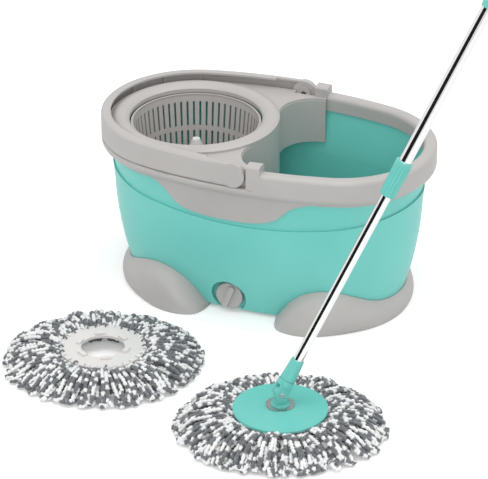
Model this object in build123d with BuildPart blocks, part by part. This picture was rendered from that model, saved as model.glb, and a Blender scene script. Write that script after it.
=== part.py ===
from build123d import *
import math
import os

# Spin mop set: a two-part bucket with a spinning wringer basket, a telescopic mop and a spare strand head.
# Millimetres, +Z up. The origin is on the floor, at the middle of the set's footprint.
# Each sub-assembly is drawn about its own datum and set down at its place when it is written.

# Clearances
RUN_FIT = 0.05
SEAT_GAP = 0.3
EDGE_BREAK = 0.8

# Places on the floor
BUCKET_AT = (-101.0, 193.0)
MOP_FROM_BUCKET = (168.0, -395.0)
REFILL_FROM_BUCKET = (-131.0, -309.0)

# Bucket rim outline, four tangent arcs in plan
RIM_LENGTH = 500.0
RIM_WIDTH = 306.0
RIM_END_RADIUS = 140.0

# Tub
TUB_BASE = 5.0
TUB_HEIGHT = 237.0
TUB_WALL = 2.5
TUB_FLOOR = 3.0
RIM_OVERHANG = 13.0
SHOULDER_RISE = 155.0
SHOULDER_INSET = 8.2
SHOULDER_STEP = 2.5
CREASE_LOW_X = 8.0
CREASE_DROP = 4.0
CREASE_RISE = 30.0
BASE_INSET = 38.0
BELLY = 6.0
CORE_DEPTH = 20.0
CORE_LAP = 5.0

# Drain pocket in the tub's front, and its screw plug
DRAIN_X = -18.0
DRAIN_Z = 27.0
POCKET_RADIUS = 27.0
POCKET_SETBACK = 5.0
DRAIN_BORE = 9.0
SEAL_RADIUS = 15.0
SEAL_THICK = 3.0
KNOB_RADIUS = 20.5
KNOB_THICK = 8.0
KNOB_BAR_WIDTH = 9.5
KNOB_BAR_RISE = 5.0
KNOB_BAR_TURN = 22.0
KNOB_BAR_MARGIN = 1.5
KNOB_BAR_DRAFT = 8.0
KNOB_EDGE = 2.0
STEM_LENGTH = 12.0

# Rim collar
SKIN = 2.7
SKIRT_RISE = 201.0
SKIRT_GAP = 0.6
APRON_LEFT_X = -145.0
APRON_FALL_X = -92.0
APRON_LOW_X = -38.0
APRON_CLIMB_X = 62.0
APRON_RIGHT_X = 142.0
APRON_FLANK = 30.0
APRON_DROP = 42.0
RIM_RISE = 10.0
RIM_ROLL = 6.0
INNER_SKIRT_DROP = 14.0
LEDGE_DROP = 16.0
LEDGE_LIP = 4.0
CHANNEL_ROLL = 1.7
EAR_RADIUS = 11.0
EAR_THICK = 1.8
HANDLE_CHANNEL = 10.0
BLOCK_X = 24.0
BLOCK_LENGTH = 20.0
BLOCK_RISE = 21.0
BLOCK_EDGE = 4.0

# Carry handle
HANDLE_HEIGHT = 36.6
HANDLE_WALL = 3.0
HANDLE_EDGE = 4.0
HANDLE_OVERHANG = 4.6
HANDLE_PIVOT_GAP = 2.6
PIVOT_RADIUS = 4.0
PIVOT_COVER = 3.0
FLANGE_FREE = 43.0
RIB_COUNT = 7
RIB_THICK = 2.5
RIB_START = 110.0
RIB_SWEEP = 140.0

# Spinner housing
BASKET_X = -112.0
RING_OUTER = 122.0
RING_INNER = 97.0
RING_RISE = 12.3
RING_FALL = 7.5
RING_SHOULDER = 6.0
RING_CROWN = 5.0
RING_LIP = 6.0
DECK = 3.0
PARTITION = 2.5
PARTITION_DEPTH = 135.0
WING_DEPTH = 67.0
WING_X = 43.0
WING_GAP = 2.5

# Wringer basket and its bearing
BASKET_RADIUS = 95.0
BASKET_FLOOR_RADIUS = 86.0
BASKET_DEPTH = 93.0
BASKET_WALL = 2.2
BASKET_BEAD = 3.2
SLOT_COUNT = 60
SLOT_WIDTH = 3.0
UPPER_SLOT_TOP = 12.0
UPPER_SLOT_LENGTH = 38.0
SLOT_BAND = 7.0
LOWER_SLOT_LENGTH = 26.0
FLOOR_HOLE_COUNT = 12
FLOOR_HOLE_RADIUS = 4.0
FLOOR_HOLE_PITCH_RADIUS = 62.0
HUB_RADIUS = 11.0
HUB_DROP = 8.0
HUB_LENGTH = 42.0
SPINDLE_RADIUS = 4.0
SPINDLE_SINK = 30.0
SPINDLE_TIP = 7.5
BUSH_RADIUS = 7.0
WASHER_THICK = 2.0
NUT_FLATS = 13.0
NUT_THICK = 5.0
POST_TOP_RADIUS = 13.0
POST_FOOT_RADIUS = 24.0
POST_FOOT = 6.0
CONE_TIP_RADIUS = 5.5
CONE_WAIST_RADIUS = 11.5
CONE_WAIST_DROP = 14.0
CONE_FOOT_RADIUS = 30.0
CONE_HEIGHT = 62.0
CONE_WALL = 2.0
CONE_BULGE = 3.0

# Feet: sections round the end of the tub, each with its arc (side or end), its heading on that arc in
# degrees, the set-in of the sole's edge from the rim outline, and its height
FOOT_SECTIONS = (
    ("side", 5.4, 36.0, 5.0),
    ("side", 6.4, 12.0, 19.0),
    ("side", 8.2, 5.6, 41.0),
    ("side", 12.3, 8.5, 60.0),
    ("end", -61.5, 22.8, 54.0),
    ("end", -39.0, 29.5, 37.0),
    ("end", -18.0, 33.6, 31.0),
)
FOOT_END = ("end", 0.0, 35.4, 30.0)
FOOT_EDGE = 2.0
FOOT_ROUND = 0.2
SOLE_DEPTH = 96.0
SOLE_TRIM = 4.0

# Mop head
PIN_HEIGHT = 60.0
PLATE_RADIUS = 65.0
PLATE_THICK = 4.0
PLATE_CROWN = 4.0
PLATE_HUB_RADIUS = 24.0
PLATE_Z = 33.0
WASHER_RADIUS = 20.0
PLATE_WASHER_THICK = 1.5
KNUCKLE_RADIUS = 13.0
KNUCKLE_BASE = 3.5
TONGUE = 10.0
EYE_RADIUS = 8.5
PAD_RING_THICK = 5.0
PAD_RING_OUTER = 60.0
PAD_RING_INNER = 38.0
PAD_RADIUS = 143.0
PAD_EDGE = 9.0
PAD_NECK_RADIUS = 62.0
PAD_CROWN = 8.0
PAD_LAP = 2.0
TUFT_COUNT = 44
TUFT_NOTCH = 30.0
TUFT_NOTCH_WIDTH = 7.0

# Mop pole, drawn along +Z from the hinge pin
LEAN = 27.5
LEAN_HEADING = 37.0
HINGE_PIN_RADIUS = 2.5
PIN_HEAD_RADIUS = 4.2
PIN_HEAD = 1.6
CHEEK = 4.2
CHEEK_GAP = 0.3
YOKE_THROAT = 13.0
YOKE_RADIUS = 11.6
YOKE_NECK_RADIUS = 9.0
YOKE_TOP = 53.0
YOKE_GROOVE_Z = 21.0
YOKE_GROOVE = 1.8
YOKE_GROOVE_DEPTH = 1.0
YOKE_FLUTES = 10
YOKE_FLUTE_RADIUS = 1.1
SOCKET_DEPTH = 30.0
LOWER_TUBE_RADIUS = 7.0
TUBE_WALL = 0.6
LOWER_TUBE_SHOWN = 261.0
TUBE_OVERLAP = 232.0
UPPER_TUBE_RADIUS = 8.5
COLLAR_LENGTH = 52.0
COLLAR_TOP_RADIUS = 12.0
COLLAR_FOOT_RADIUS = 10.8
COLLAR_RIM = 5.0
COLLAR_FLUTES = 16
COLLAR_FLUTE_RADIUS = 1.3
COLLAR_FLUTE_OUT = 0.4
SLEEVE_SLIT = 2.0
SLEEVE_SLIT_LENGTH = 26.0
TUBE_IN_COLLAR = 30.0
UPPER_TUBE_SHOWN = 234.0
GRIP_LENGTH = 200.0
GRIP_FOOT_RADIUS = 9.8
GRIP_RADIUS = 12.5
GRIP_WAIST_RADIUS = 11.0
GRIP_SWELL_Z = 60.0
GRIP_WAIST_Z = 124.0
HANG_HOLE_RADIUS = 4.0
HANG_HOLE_DROP = 14.0
BUSH_LENGTH = 16.0
DRIVE_NUT_THICK = 3.0
NUT_FLANGE = 1.2
ROD_WIDTH = 6.4
ROD_THICK = 1.8
ROD_LEAD = 120.0
STATIONS_PER_TURN = 12
ROD_SLOT_GAP = 0.5
ROD_BELOW_NUT = 172.0
PLUG_LENGTH = 14.0

# Spare strand head
REFILL_RING_RADIUS = 61.0
REFILL_HOLE_RADIUS = 31.0
REFILL_RING_THICK = 4.0
REFILL_RING_Z = 21.0
REFILL_RADIUS = 141.0
REFILL_EDGE = 9.0
REFILL_INNER = 37.0
TAB_COUNT = 6
TAB_LENGTH = 14.0
TAB_WIDTH = 7.0
TAB_RISE = 3.0
TAB_SETBACK = 1.0

# Heights and offsets that follow from the sizes above
TUB_TOP = TUB_BASE + TUB_HEIGHT
SHOULDER_Z = TUB_BASE + SHOULDER_RISE
TOP_OFFSET = -RIM_OVERHANG
SHOULDER_OFFSET = TOP_OFFSET - SHOULDER_INSET
BASE_OFFSET = TOP_OFFSET - BASE_INSET
CORE_OFFSET = BASE_OFFSET - CORE_DEPTH
SKIRT_Z = TUB_BASE + SKIRT_RISE
RIM_TOP = TUB_TOP + RIM_RISE
INNER_SKIRT_Z = TUB_TOP - INNER_SKIRT_DROP
LEDGE_Z = TUB_TOP - LEDGE_DROP
BRIDGE_TOP = TUB_TOP + SKIN
BLOCK_TOP = TUB_TOP + BLOCK_RISE
HANDLE_BASE = LEDGE_Z + SEAT_GAP
HANDLE_TOP = HANDLE_BASE + HANDLE_HEIGHT
PIVOT_Z = HANDLE_BASE + HANDLE_HEIGHT / 2
PIVOT_X = BLOCK_X - HANDLE_PIVOT_GAP - HANDLE_HEIGHT / 2
HANDLE_INNER = -(HANDLE_CHANNEL - 2 * SEAT_GAP)
DECK_TOP = BRIDGE_TOP + DECK
DRAIN_Y = -(RIM_WIDTH / 2 + BASE_OFFSET + SHOULDER_STEP - POCKET_SETBACK)
BASKET_TOP = BRIDGE_TOP + RING_RISE - RING_FALL - RING_LIP
BASKET_FLOOR_Z = BASKET_TOP - BASKET_DEPTH
HUB_Z = BASKET_FLOOR_Z - HUB_DROP
HUB_TOP = HUB_Z + HUB_LENGTH
POST_TOP = HUB_Z - WASHER_THICK
POST_Z = TUB_BASE + TUB_FLOOR
PLATE_TOP = PLATE_Z + PLATE_THICK + PLATE_CROWN
COLLAR_Z = YOKE_TOP + LOWER_TUBE_SHOWN
COLLAR_RIM_Z = COLLAR_Z + COLLAR_LENGTH - COLLAR_RIM
UPPER_TUBE_Z = COLLAR_Z + COLLAR_LENGTH - TUBE_IN_COLLAR
GRIP_Z = COLLAR_Z + COLLAR_LENGTH + UPPER_TUBE_SHOWN
GRIP_TOP = GRIP_Z + GRIP_LENGTH
PLUG_TOP = GRIP_TOP - 2 * HANG_HOLE_DROP
LOWER_TUBE_TOP = UPPER_TUBE_Z + TUBE_OVERLAP
LOWER_BORE = LOWER_TUBE_RADIUS - TUBE_WALL
UPPER_BORE = UPPER_TUBE_RADIUS - TUBE_WALL

# Places of the three sub-assemblies
BUCKET = Location((BUCKET_AT[0], BUCKET_AT[1], 0))
MOP = BUCKET * Location((MOP_FROM_BUCKET[0], MOP_FROM_BUCKET[1], 0)) * Location((0, 0, 0), (0, 0, LEAN_HEADING))
POLE = MOP * Location((0, 0, PIN_HEIGHT)) * Location((0, 0, 0), (0, LEAN, 0))
REFILL = BUCKET * Location((REFILL_FROM_BUCKET[0], REFILL_FROM_BUCKET[1], 0))


def hand_in(piece, name, place):
    """Set a finished piece down at its place, label it and write its file."""
    solid = piece.part.moved(place)
    solid.label = name
    export_step(solid, f"parts/{name}.step")


def oval_arcs(length, width, end_radius):
    """Centres, radii and angles of an oblong outline: right end, back, left end, front."""
    reach = length / 2 - end_radius
    half = width / 2
    side_radius = (reach**2 + half**2 - end_radius**2) / (2 * (half - end_radius))
    drop = side_radius - half
    lean = math.degrees(math.atan2(reach, drop))
    end_sweep = 180 - 2 * lean
    return [
        ((reach, 0), end_radius, lean - 90, end_sweep),
        ((0, -drop), side_radius, 90 - lean, 2 * lean),
        ((-reach, 0), end_radius, 90 + lean, end_sweep),
        ((0, drop), side_radius, 270 - lean, 2 * lean),
    ]


def oval_face(length, width, end_radius):
    """Flat face bounded by an oblong outline."""
    with BuildSketch() as sketch:
        with BuildLine():
            for centre, radius, start, sweep_angle in oval_arcs(length, width, end_radius):
                CenterArc(centre, radius, start, sweep_angle)
        make_face()
    return sketch.sketch


def rim_face(offset):
    """The bucket's outline, stepped out from the rim outline by offset."""
    return oval_face(RIM_LENGTH + 2 * offset, RIM_WIDTH + 2 * offset, RIM_END_RADIUS + offset)


def rim_turned(profile):
    """Carry a section round the rim outline. The section's x is the step outwards, its y the height."""
    with BuildPart() as band:
        for centre, radius, start, sweep_angle in oval_arcs(RIM_LENGTH, RIM_WIDTH, RIM_END_RADIUS):
            out = Vector(math.cos(math.radians(start)), math.sin(math.radians(start)), 0)
            foot = Vector(centre[0], centre[1], 0) + out * radius
            section = Plane(origin=foot, x_dir=out, z_dir=(out.Y, -out.X, 0))
            with BuildSketch(section):
                add(profile)
            revolve(axis=Axis((centre[0], centre[1], 0), (0, 0, 1)), revolution_arc=sweep_angle)
    return band.part


def wall_offset(height):
    """Outer face of the tub's upper wall at a height, as a step from the rim outline."""
    return SHOULDER_OFFSET + (height - SHOULDER_Z) / (TUB_TOP - SHOULDER_Z) * SHOULDER_INSET


def bulged(start, end, bulge):
    """Middle point of an arc from start to end that bulges outwards."""
    chord = Vector(end[0] - start[0], end[1] - start[1])
    normal = Vector(chord.Y, -chord.X).normalized()
    middle = Vector((start[0] + end[0]) / 2, (start[1] + end[1]) / 2) + normal * bulge
    return (middle.X, middle.Y)


def belly_offset(height):
    """Outer face of the tub's lower wall at a height, as a step from the rim outline."""
    share = (height - TUB_BASE) / SHOULDER_RISE
    slope = SHOULDER_OFFSET - BASE_OFFSET
    return BASE_OFFSET + SHOULDER_STEP + slope * share + 4 * BELLY * share * (1 - share)


def tub_section(grow, foot, head):
    """Section of the filled tub from its core outwards, grown by a step, from height foot to height head."""
    base = (BASE_OFFSET + grow, foot)
    shoulder = (SHOULDER_OFFSET + grow, SHOULDER_Z)
    with BuildSketch() as section:
        with BuildLine():
            ThreePointArc(base, bulged(base, shoulder, BELLY), shoulder)
            Polyline(shoulder, (wall_offset(head) + grow, head), (CORE_OFFSET, head), (CORE_OFFSET, foot), base)
        make_face()
    return section.sketch


def cavity_section():
    """Section of the tub's inside from its core outwards."""
    base = (BASE_OFFSET - TUB_WALL, TUB_BASE + TUB_FLOOR)
    shoulder = (SHOULDER_OFFSET - TUB_WALL, SHOULDER_Z)
    brim = (wall_offset(TUB_TOP) - TUB_WALL, TUB_TOP)
    with BuildSketch() as section:
        with BuildLine():
            ThreePointArc(base, bulged(base, shoulder, BELLY), shoulder)
            Polyline(shoulder, brim, (CORE_OFFSET, brim[1]), (CORE_OFFSET, base[1]), base)
        make_face()
    return section.sketch


def flank(top, foot):
    """Edges of an S-shaped flank that starts and ends upright."""
    middle = ((top[0] + foot[0]) / 2, (top[1] + foot[1]) / 2)
    return [TangentArc(top, middle, tangent=(0, -1)), TangentArc(foot, middle, tangent=(0, 1))]


def front_plane(x, y, z):
    """Upright plane that faces the front, with its x to the right and its y up."""
    return Plane(origin=(x, y, z), x_dir=(1, 0, 0), z_dir=(0, -1, 0))


os.makedirs("parts", exist_ok=True)

# Tub
with BuildPart() as tub_cavity:
    add(rim_turned(cavity_section()))
    with BuildSketch(Plane.XY.offset(TUB_BASE + TUB_FLOOR)):
        add(rim_face(CORE_OFFSET + CORE_LAP))
    extrude(amount=TUB_HEIGHT - TUB_FLOOR)
    with BuildSketch(front_plane(DRAIN_X, DRAIN_Y + TUB_WALL, DRAIN_Z)):
        Circle(POCKET_RADIUS + TUB_WALL)
    extrude(amount=RIM_WIDTH, mode=Mode.SUBTRACT)

with BuildPart() as tub_belly:
    add(rim_turned(tub_section(SHOULDER_STEP, TUB_BASE, TUB_TOP)))
    with BuildSketch(front_plane(0, 0, SHOULDER_Z)):
        with BuildLine():
            ThreePointArc(
                (CREASE_LOW_X - RIM_LENGTH / 2, CREASE_RISE),
                (CREASE_LOW_X, -CREASE_DROP),
                (CREASE_LOW_X + RIM_LENGTH / 2, CREASE_RISE),
            )
            Polyline(
                (CREASE_LOW_X + RIM_LENGTH / 2, CREASE_RISE),
                (CREASE_LOW_X + RIM_LENGTH / 2, -SHOULDER_Z),
                (CREASE_LOW_X - RIM_LENGTH / 2, -SHOULDER_Z),
                (CREASE_LOW_X - RIM_LENGTH / 2, CREASE_RISE),
            )
        make_face()
    extrude(amount=RIM_WIDTH, both=True, mode=Mode.INTERSECT)

with BuildPart() as tub:
    add(rim_turned(tub_section(0, TUB_BASE, TUB_TOP)))
    add(tub_belly.part)
    with BuildSketch(Plane.XY.offset(TUB_BASE)):
        add(rim_face(CORE_OFFSET + CORE_LAP))
    extrude(amount=TUB_HEIGHT)
    add(tub_cavity.part, mode=Mode.SUBTRACT)
    with BuildSketch(front_plane(DRAIN_X, DRAIN_Y, DRAIN_Z)):
        Circle(POCKET_RADIUS)
    extrude(amount=RIM_WIDTH, mode=Mode.SUBTRACT)
    with BuildSketch(front_plane(DRAIN_X, DRAIN_Y, DRAIN_Z)):
        Circle(DRAIN_BORE + RUN_FIT)
    extrude(amount=-2 * TUB_WALL, mode=Mode.SUBTRACT)
hand_in(tub, "tub", BUCKET)

# Drain plug and its seal
with BuildPart() as drain_seal:
    with BuildSketch(front_plane(DRAIN_X, DRAIN_Y, DRAIN_Z)):
        Circle(SEAL_RADIUS)
        Circle(DRAIN_BORE + RUN_FIT, mode=Mode.SUBTRACT)
    extrude(amount=SEAL_THICK)
hand_in(drain_seal, "drain_seal", BUCKET)

with BuildPart() as drain_knob:
    with BuildSketch(front_plane(DRAIN_X, DRAIN_Y - SEAL_THICK, DRAIN_Z)):
        Circle(KNOB_RADIUS)
    extrude(amount=KNOB_THICK)
    fillet(drain_knob.edges().group_by(Axis.Y)[0], KNOB_EDGE)
    with BuildSketch(front_plane(DRAIN_X, DRAIN_Y - SEAL_THICK - KNOB_THICK, DRAIN_Z)):
        with Locations(Location((0, 0, 0), (0, 0, 90 - KNOB_BAR_TURN))):
            SlotOverall(2 * (KNOB_RADIUS - KNOB_BAR_MARGIN), KNOB_BAR_WIDTH)
    extrude(amount=KNOB_BAR_RISE, taper=KNOB_BAR_DRAFT)
    with BuildSketch(front_plane(DRAIN_X, DRAIN_Y - SEAL_THICK, DRAIN_Z)):
        Circle(DRAIN_BORE)
        Circle(DRAIN_BORE - TUB_WALL, mode=Mode.SUBTRACT)
    extrude(amount=-STEM_LENGTH)
hand_in(drain_knob, "drain_knob", BUCKET)

# Rim collar: a rolled rim on the wash side, a handle channel on the spinner side, and two pivot blocks
INNER_MID = wall_offset(INNER_SKIRT_Z) - TUB_WALL - SEAT_GAP - SKIN / 2
SKIRT_MID = wall_offset(SKIRT_Z) + SKIRT_GAP + SKIN / 2
CHANNEL_MID = -HANDLE_CHANNEL - SKIN / 2

with BuildSketch() as rolled_section:
    with BuildLine():
        flank((-SKIN / 2, LEDGE_Z - LEDGE_LIP), (SKIRT_MID, SKIRT_Z))
        FilletPolyline(
            (-SKIN / 2, LEDGE_Z - LEDGE_LIP),
            (-SKIN / 2, RIM_TOP - SKIN / 2),
            (INNER_MID, RIM_TOP - SKIN / 2),
            (INNER_MID, INNER_SKIRT_Z),
            radius=RIM_ROLL,
        )
    trace(line_width=SKIN)

with BuildSketch() as channel_section:
    with BuildLine():
        flank((-SKIN / 2, LEDGE_Z - LEDGE_LIP), (SKIRT_MID, SKIRT_Z))
        FilletPolyline(
            (-SKIN / 2, LEDGE_Z - LEDGE_LIP),
            (-SKIN / 2, LEDGE_Z - SKIN / 2),
            (CHANNEL_MID, LEDGE_Z - SKIN / 2),
            (CHANNEL_MID, BRIDGE_TOP - SKIN / 2),
            (INNER_MID, BRIDGE_TOP - SKIN / 2),
            (INNER_MID, INNER_SKIRT_Z),
            radius=CHANNEL_ROLL,
        )
    trace(line_width=SKIN)

INNER_FACE = INNER_MID - SKIN / 2
with BuildSketch() as block_section:
    with BuildLine():
        Polyline(
            (INNER_FACE, TUB_TOP),
            (INNER_FACE, BLOCK_TOP),
            (0, BLOCK_TOP),
            (0, LEDGE_Z),
            (TOP_OFFSET + SEAT_GAP, LEDGE_Z),
            (TOP_OFFSET + SEAT_GAP, TUB_TOP),
            close=True,
        )
    make_face()
    fillet(block_section.vertices().group_by(Axis.Y)[-1], BLOCK_EDGE)

APRON_Z = SKIRT_Z - APRON_DROP
APRON_HEAD = SKIRT_Z + SKIN
with BuildSketch() as apron_section:
    with BuildLine():
        Polyline(
            (wall_offset(APRON_Z) + SKIRT_GAP + SEAT_GAP, APRON_Z),
            (wall_offset(APRON_Z) + SKIRT_GAP + SKIN - SEAT_GAP, APRON_Z),
            (wall_offset(APRON_HEAD) + SKIRT_GAP + SKIN - SEAT_GAP, APRON_HEAD),
            (wall_offset(APRON_HEAD) + SKIRT_GAP + SEAT_GAP, APRON_HEAD),
            close=True,
        )
    make_face()

BLOCK_MID = BLOCK_X + BLOCK_LENGTH / 2
with BuildPart() as rolled_rim:
    add(rim_turned(rolled_section.sketch))
    split(bisect_by=Plane.YZ.offset(BLOCK_MID), keep=Keep.TOP)

with BuildPart() as channel_rim:
    add(rim_turned(channel_section.sketch))
    split(bisect_by=Plane.YZ.offset(BLOCK_MID), keep=Keep.BOTTOM)

with BuildPart() as pivot_blocks:
    add(rim_turned(block_section.sketch))
    with Locations((BLOCK_MID, 0, TUB_TOP)):
        Box(BLOCK_LENGTH, 2 * RIM_WIDTH, 2 * TUB_HEIGHT, mode=Mode.INTERSECT)

with BuildPart() as apron:
    add(rim_turned(apron_section.sketch))
    with BuildSketch(front_plane(0, 0, SKIRT_Z)):
        with BuildLine():
            Spline(
                (APRON_LEFT_X, SKIN / 2),
                (APRON_FALL_X, -APRON_FLANK),
                (APRON_LOW_X, -APRON_DROP),
                (APRON_CLIMB_X, -APRON_FLANK),
                (APRON_RIGHT_X, SKIN / 2),
                tangents=[(1, 0), (1, 0)],
            )
            Polyline(
                (APRON_RIGHT_X, SKIN / 2),
                (APRON_RIGHT_X, 2 * SKIN),
                (APRON_LEFT_X, 2 * SKIN),
                (APRON_LEFT_X, SKIN / 2),
            )
        make_face()
    extrude(amount=RIM_WIDTH, both=True, mode=Mode.INTERSECT)

with BuildPart() as rim_collar:
    add(rolled_rim.part)
    add(channel_rim.part)
    add(pivot_blocks.part)
    add(apron.part)
    for side in (-1, 1):
        with Locations((PIVOT_X, side * (RIM_WIDTH / 2 - HANDLE_CHANNEL - SKIN / 2), PIVOT_Z)):
            Cylinder(EAR_RADIUS, EAR_THICK, rotation=(90, 0, 0))
    with Locations((PIVOT_X, 0, PIVOT_Z)):
        Cylinder(PIVOT_RADIUS, 2 * RIM_WIDTH, rotation=(90, 0, 0), mode=Mode.SUBTRACT)
hand_in(rim_collar, "rim_collar", BUCKET)

# Handle pins, pressed into the collar's channel wall
PIN_OUT = RIM_WIDTH / 2 - PIVOT_COVER - SEAT_GAP
PIN_IN = RIM_WIDTH / 2 - HANDLE_CHANNEL - SKIN
with BuildPart() as handle_pins:
    for side in (-1, 1):
        with Locations((PIVOT_X, side * (PIN_OUT + PIN_IN) / 2, PIVOT_Z)):
            Cylinder(PIVOT_RADIUS, PIN_OUT - PIN_IN, rotation=(90, 0, 0))
hand_in(handle_pins, "handle_pins", BUCKET)

# Carry handle: a channel-section bail that lies round the spinner end
with BuildSketch() as handle_section:
    with Locations((HANDLE_INNER / 2, PIVOT_Z)):
        Rectangle(-HANDLE_INNER, HANDLE_HEIGHT)
    fillet(handle_section.vertices().group_by(Axis.X)[-1], HANDLE_EDGE)
    with Locations((HANDLE_INNER / 2 - HANDLE_WALL, PIVOT_Z)):
        Rectangle(-HANDLE_INNER, HANDLE_HEIGHT - 2 * HANDLE_WALL, mode=Mode.SUBTRACT)

with BuildSketch() as flange_section:
    with Locations((HANDLE_INNER - HANDLE_OVERHANG / 2 + HANDLE_WALL / 2, HANDLE_TOP - HANDLE_WALL / 2)):
        Rectangle(HANDLE_OVERHANG + HANDLE_WALL, HANDLE_WALL)

with BuildPart() as handle_flange:
    add(rim_turned(flange_section.sketch))
    split(bisect_by=Plane.YZ.offset(PIVOT_X - FLANGE_FREE), keep=Keep.BOTTOM)

EYE_THICK = -HANDLE_INNER
with BuildPart() as carry_handle:
    add(rim_turned(handle_section.sketch))
    split(bisect_by=Plane.YZ.offset(PIVOT_X), keep=Keep.BOTTOM)
    add(handle_flange.part)
    with Locations((-(RIM_LENGTH / 2 - RIM_END_RADIUS), 0, PIVOT_Z)):
        with PolarLocations(RIM_END_RADIUS + HANDLE_INNER / 2, RIB_COUNT, RIB_START, RIB_SWEEP, endpoint=True):
            Box(-HANDLE_INNER - HANDLE_WALL, RIB_THICK, HANDLE_HEIGHT - HANDLE_WALL)
    for side in (-1, 1):
        with Locations((PIVOT_X, side * (RIM_WIDTH - EYE_THICK) / 2, PIVOT_Z)):
            Cylinder(HANDLE_HEIGHT / 2, EYE_THICK, rotation=(90, 0, 0))
        with Locations((PIVOT_X, side * (RIM_WIDTH / 2 - PIVOT_COVER - EYE_THICK), PIVOT_Z)):
            Cylinder(PIVOT_RADIUS + RUN_FIT, 2 * EYE_THICK, rotation=(90, 0, 0), mode=Mode.SUBTRACT)
hand_in(carry_handle, "carry_handle", BUCKET)

# Spinner housing: sloped ring, deck, and a partition that flares into a wing at each side wall
WING_Y = RIM_WIDTH / 2 + wall_offset(BRIDGE_TOP - WING_DEPTH) - TUB_WALL - WING_GAP - PARTITION / 2
WALL_RADIUS = RING_OUTER - PARTITION / 2
WING_RUN = WING_X - BASKET_X
WING_RADIUS = (WING_RUN**2 + WING_Y**2 - WALL_RADIUS**2) / (2 * (WALL_RADIUS + WING_Y))
WING_ANGLE = math.degrees(math.atan2(WING_Y - WING_RADIUS, WING_RUN))

with BuildSketch() as wing_walls:
    with BuildLine():
        CenterArc((WING_X, WING_Y - WING_RADIUS), WING_RADIUS, 90, 90 + WING_ANGLE)
        CenterArc((WING_X, WING_RADIUS - WING_Y), WING_RADIUS, 180 - WING_ANGLE, 90 + WING_ANGLE)
    trace(line_width=PARTITION)

with BuildSketch() as round_wall:
    with BuildLine():
        CenterArc((BASKET_X, 0), WALL_RADIUS, -WING_ANGLE, 2 * WING_ANGLE)
    trace(line_width=PARTITION)

with BuildSketch() as deck_plan:
    with BuildLine():
        CenterArc((WING_X, WING_Y - WING_RADIUS), WING_RADIUS, 90, 90 + WING_ANGLE)
        CenterArc((BASKET_X, 0), WALL_RADIUS, -WING_ANGLE, 2 * WING_ANGLE)
        CenterArc((WING_X, WING_RADIUS - WING_Y), WING_RADIUS, 180 - WING_ANGLE, 90 + WING_ANGLE)
        Polyline(
            (WING_X, -WING_Y),
            (WING_X, -RIM_WIDTH),
            (-RIM_LENGTH, -RIM_WIDTH),
            (-RIM_LENGTH, RIM_WIDTH),
            (WING_X, RIM_WIDTH),
            (WING_X, WING_Y),
        )
    make_face()
    add(rim_face(-HANDLE_CHANNEL - SEAT_GAP), mode=Mode.INTERSECT)

with BuildSketch() as block_clearance:
    with Locations((PIVOT_X - EAR_RADIUS - SEAT_GAP + RIM_LENGTH / 2, 0)):
        Rectangle(RIM_LENGTH, RIM_WIDTH)
    add(rim_face(INNER_FACE - SEAT_GAP), mode=Mode.SUBTRACT)

with BuildPart() as spinner_housing:
    with BuildSketch(Plane.XY.offset(BRIDGE_TOP)):
        add(deck_plan.sketch)
        add(block_clearance.sketch, mode=Mode.SUBTRACT)
        with Locations((BASKET_X, 0)):
            Circle(RING_OUTER - SKIN / 2, mode=Mode.SUBTRACT)
    extrude(amount=DECK)
    with BuildSketch(Plane.XZ):
        with BuildLine():
            crown = (BASKET_X + RING_OUTER, BRIDGE_TOP + RING_RISE - RING_SHOULDER)
            lip = (BASKET_X + RING_INNER, BRIDGE_TOP + RING_RISE - RING_FALL)
            hollow_lip = (BASKET_X + RING_INNER + SKIN, BRIDGE_TOP + RING_RISE - RING_FALL - SKIN)
            hollow_crown = (BASKET_X + RING_OUTER - SKIN, BRIDGE_TOP + RING_RISE - RING_SHOULDER - SKIN)
            Line((BASKET_X + RING_OUTER, BRIDGE_TOP), crown)
            ThreePointArc(crown, bulged(crown, lip, RING_CROWN), lip)
            Polyline(
                lip,
                (BASKET_X + RING_INNER, BASKET_TOP),
                (BASKET_X + RING_INNER + SKIN, BASKET_TOP),
                hollow_lip,
            )
            ThreePointArc(hollow_lip, bulged(hollow_crown, hollow_lip, RING_CROWN), hollow_crown)
            Polyline(hollow_crown, (BASKET_X + RING_OUTER - SKIN, BRIDGE_TOP), (BASKET_X + RING_OUTER, BRIDGE_TOP))
        make_face()
    revolve(axis=Axis((BASKET_X, 0, 0), (0, 0, 1)))
    with BuildSketch(Plane.XY.offset(BRIDGE_TOP)):
        add(wing_walls.sketch)
    extrude(amount=-WING_DEPTH)
    with BuildSketch(Plane.XY.offset(BRIDGE_TOP)):
        add(round_wall.sketch)
    extrude(amount=-PARTITION_DEPTH)
hand_in(spinner_housing, "spinner_housing", BUCKET)

# Basket bearing: post on the tub's floor, steel spindle, thrust washer and nut
with BuildPart() as spindle_post:
    with BuildSketch(Plane.XY.offset(POST_Z)):
        with Locations((BASKET_X, 0)):
            Circle(2 * POST_FOOT_RADIUS)
    extrude(amount=POST_FOOT)
    with BuildSketch(Plane.XY.offset(POST_Z + POST_FOOT)):
        with Locations((BASKET_X, 0)):
            Circle(POST_FOOT_RADIUS)
    with BuildSketch(Plane.XY.offset(POST_TOP)):
        with Locations((BASKET_X, 0)):
            Circle(POST_TOP_RADIUS)
    loft()
    with Locations((BASKET_X, 0, POST_TOP - SPINDLE_SINK)):
        Cylinder(SPINDLE_RADIUS, 2 * SPINDLE_SINK, align=(Align.CENTER, Align.CENTER, Align.MIN), mode=Mode.SUBTRACT)
hand_in(spindle_post, "spindle_post", BUCKET)

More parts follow.
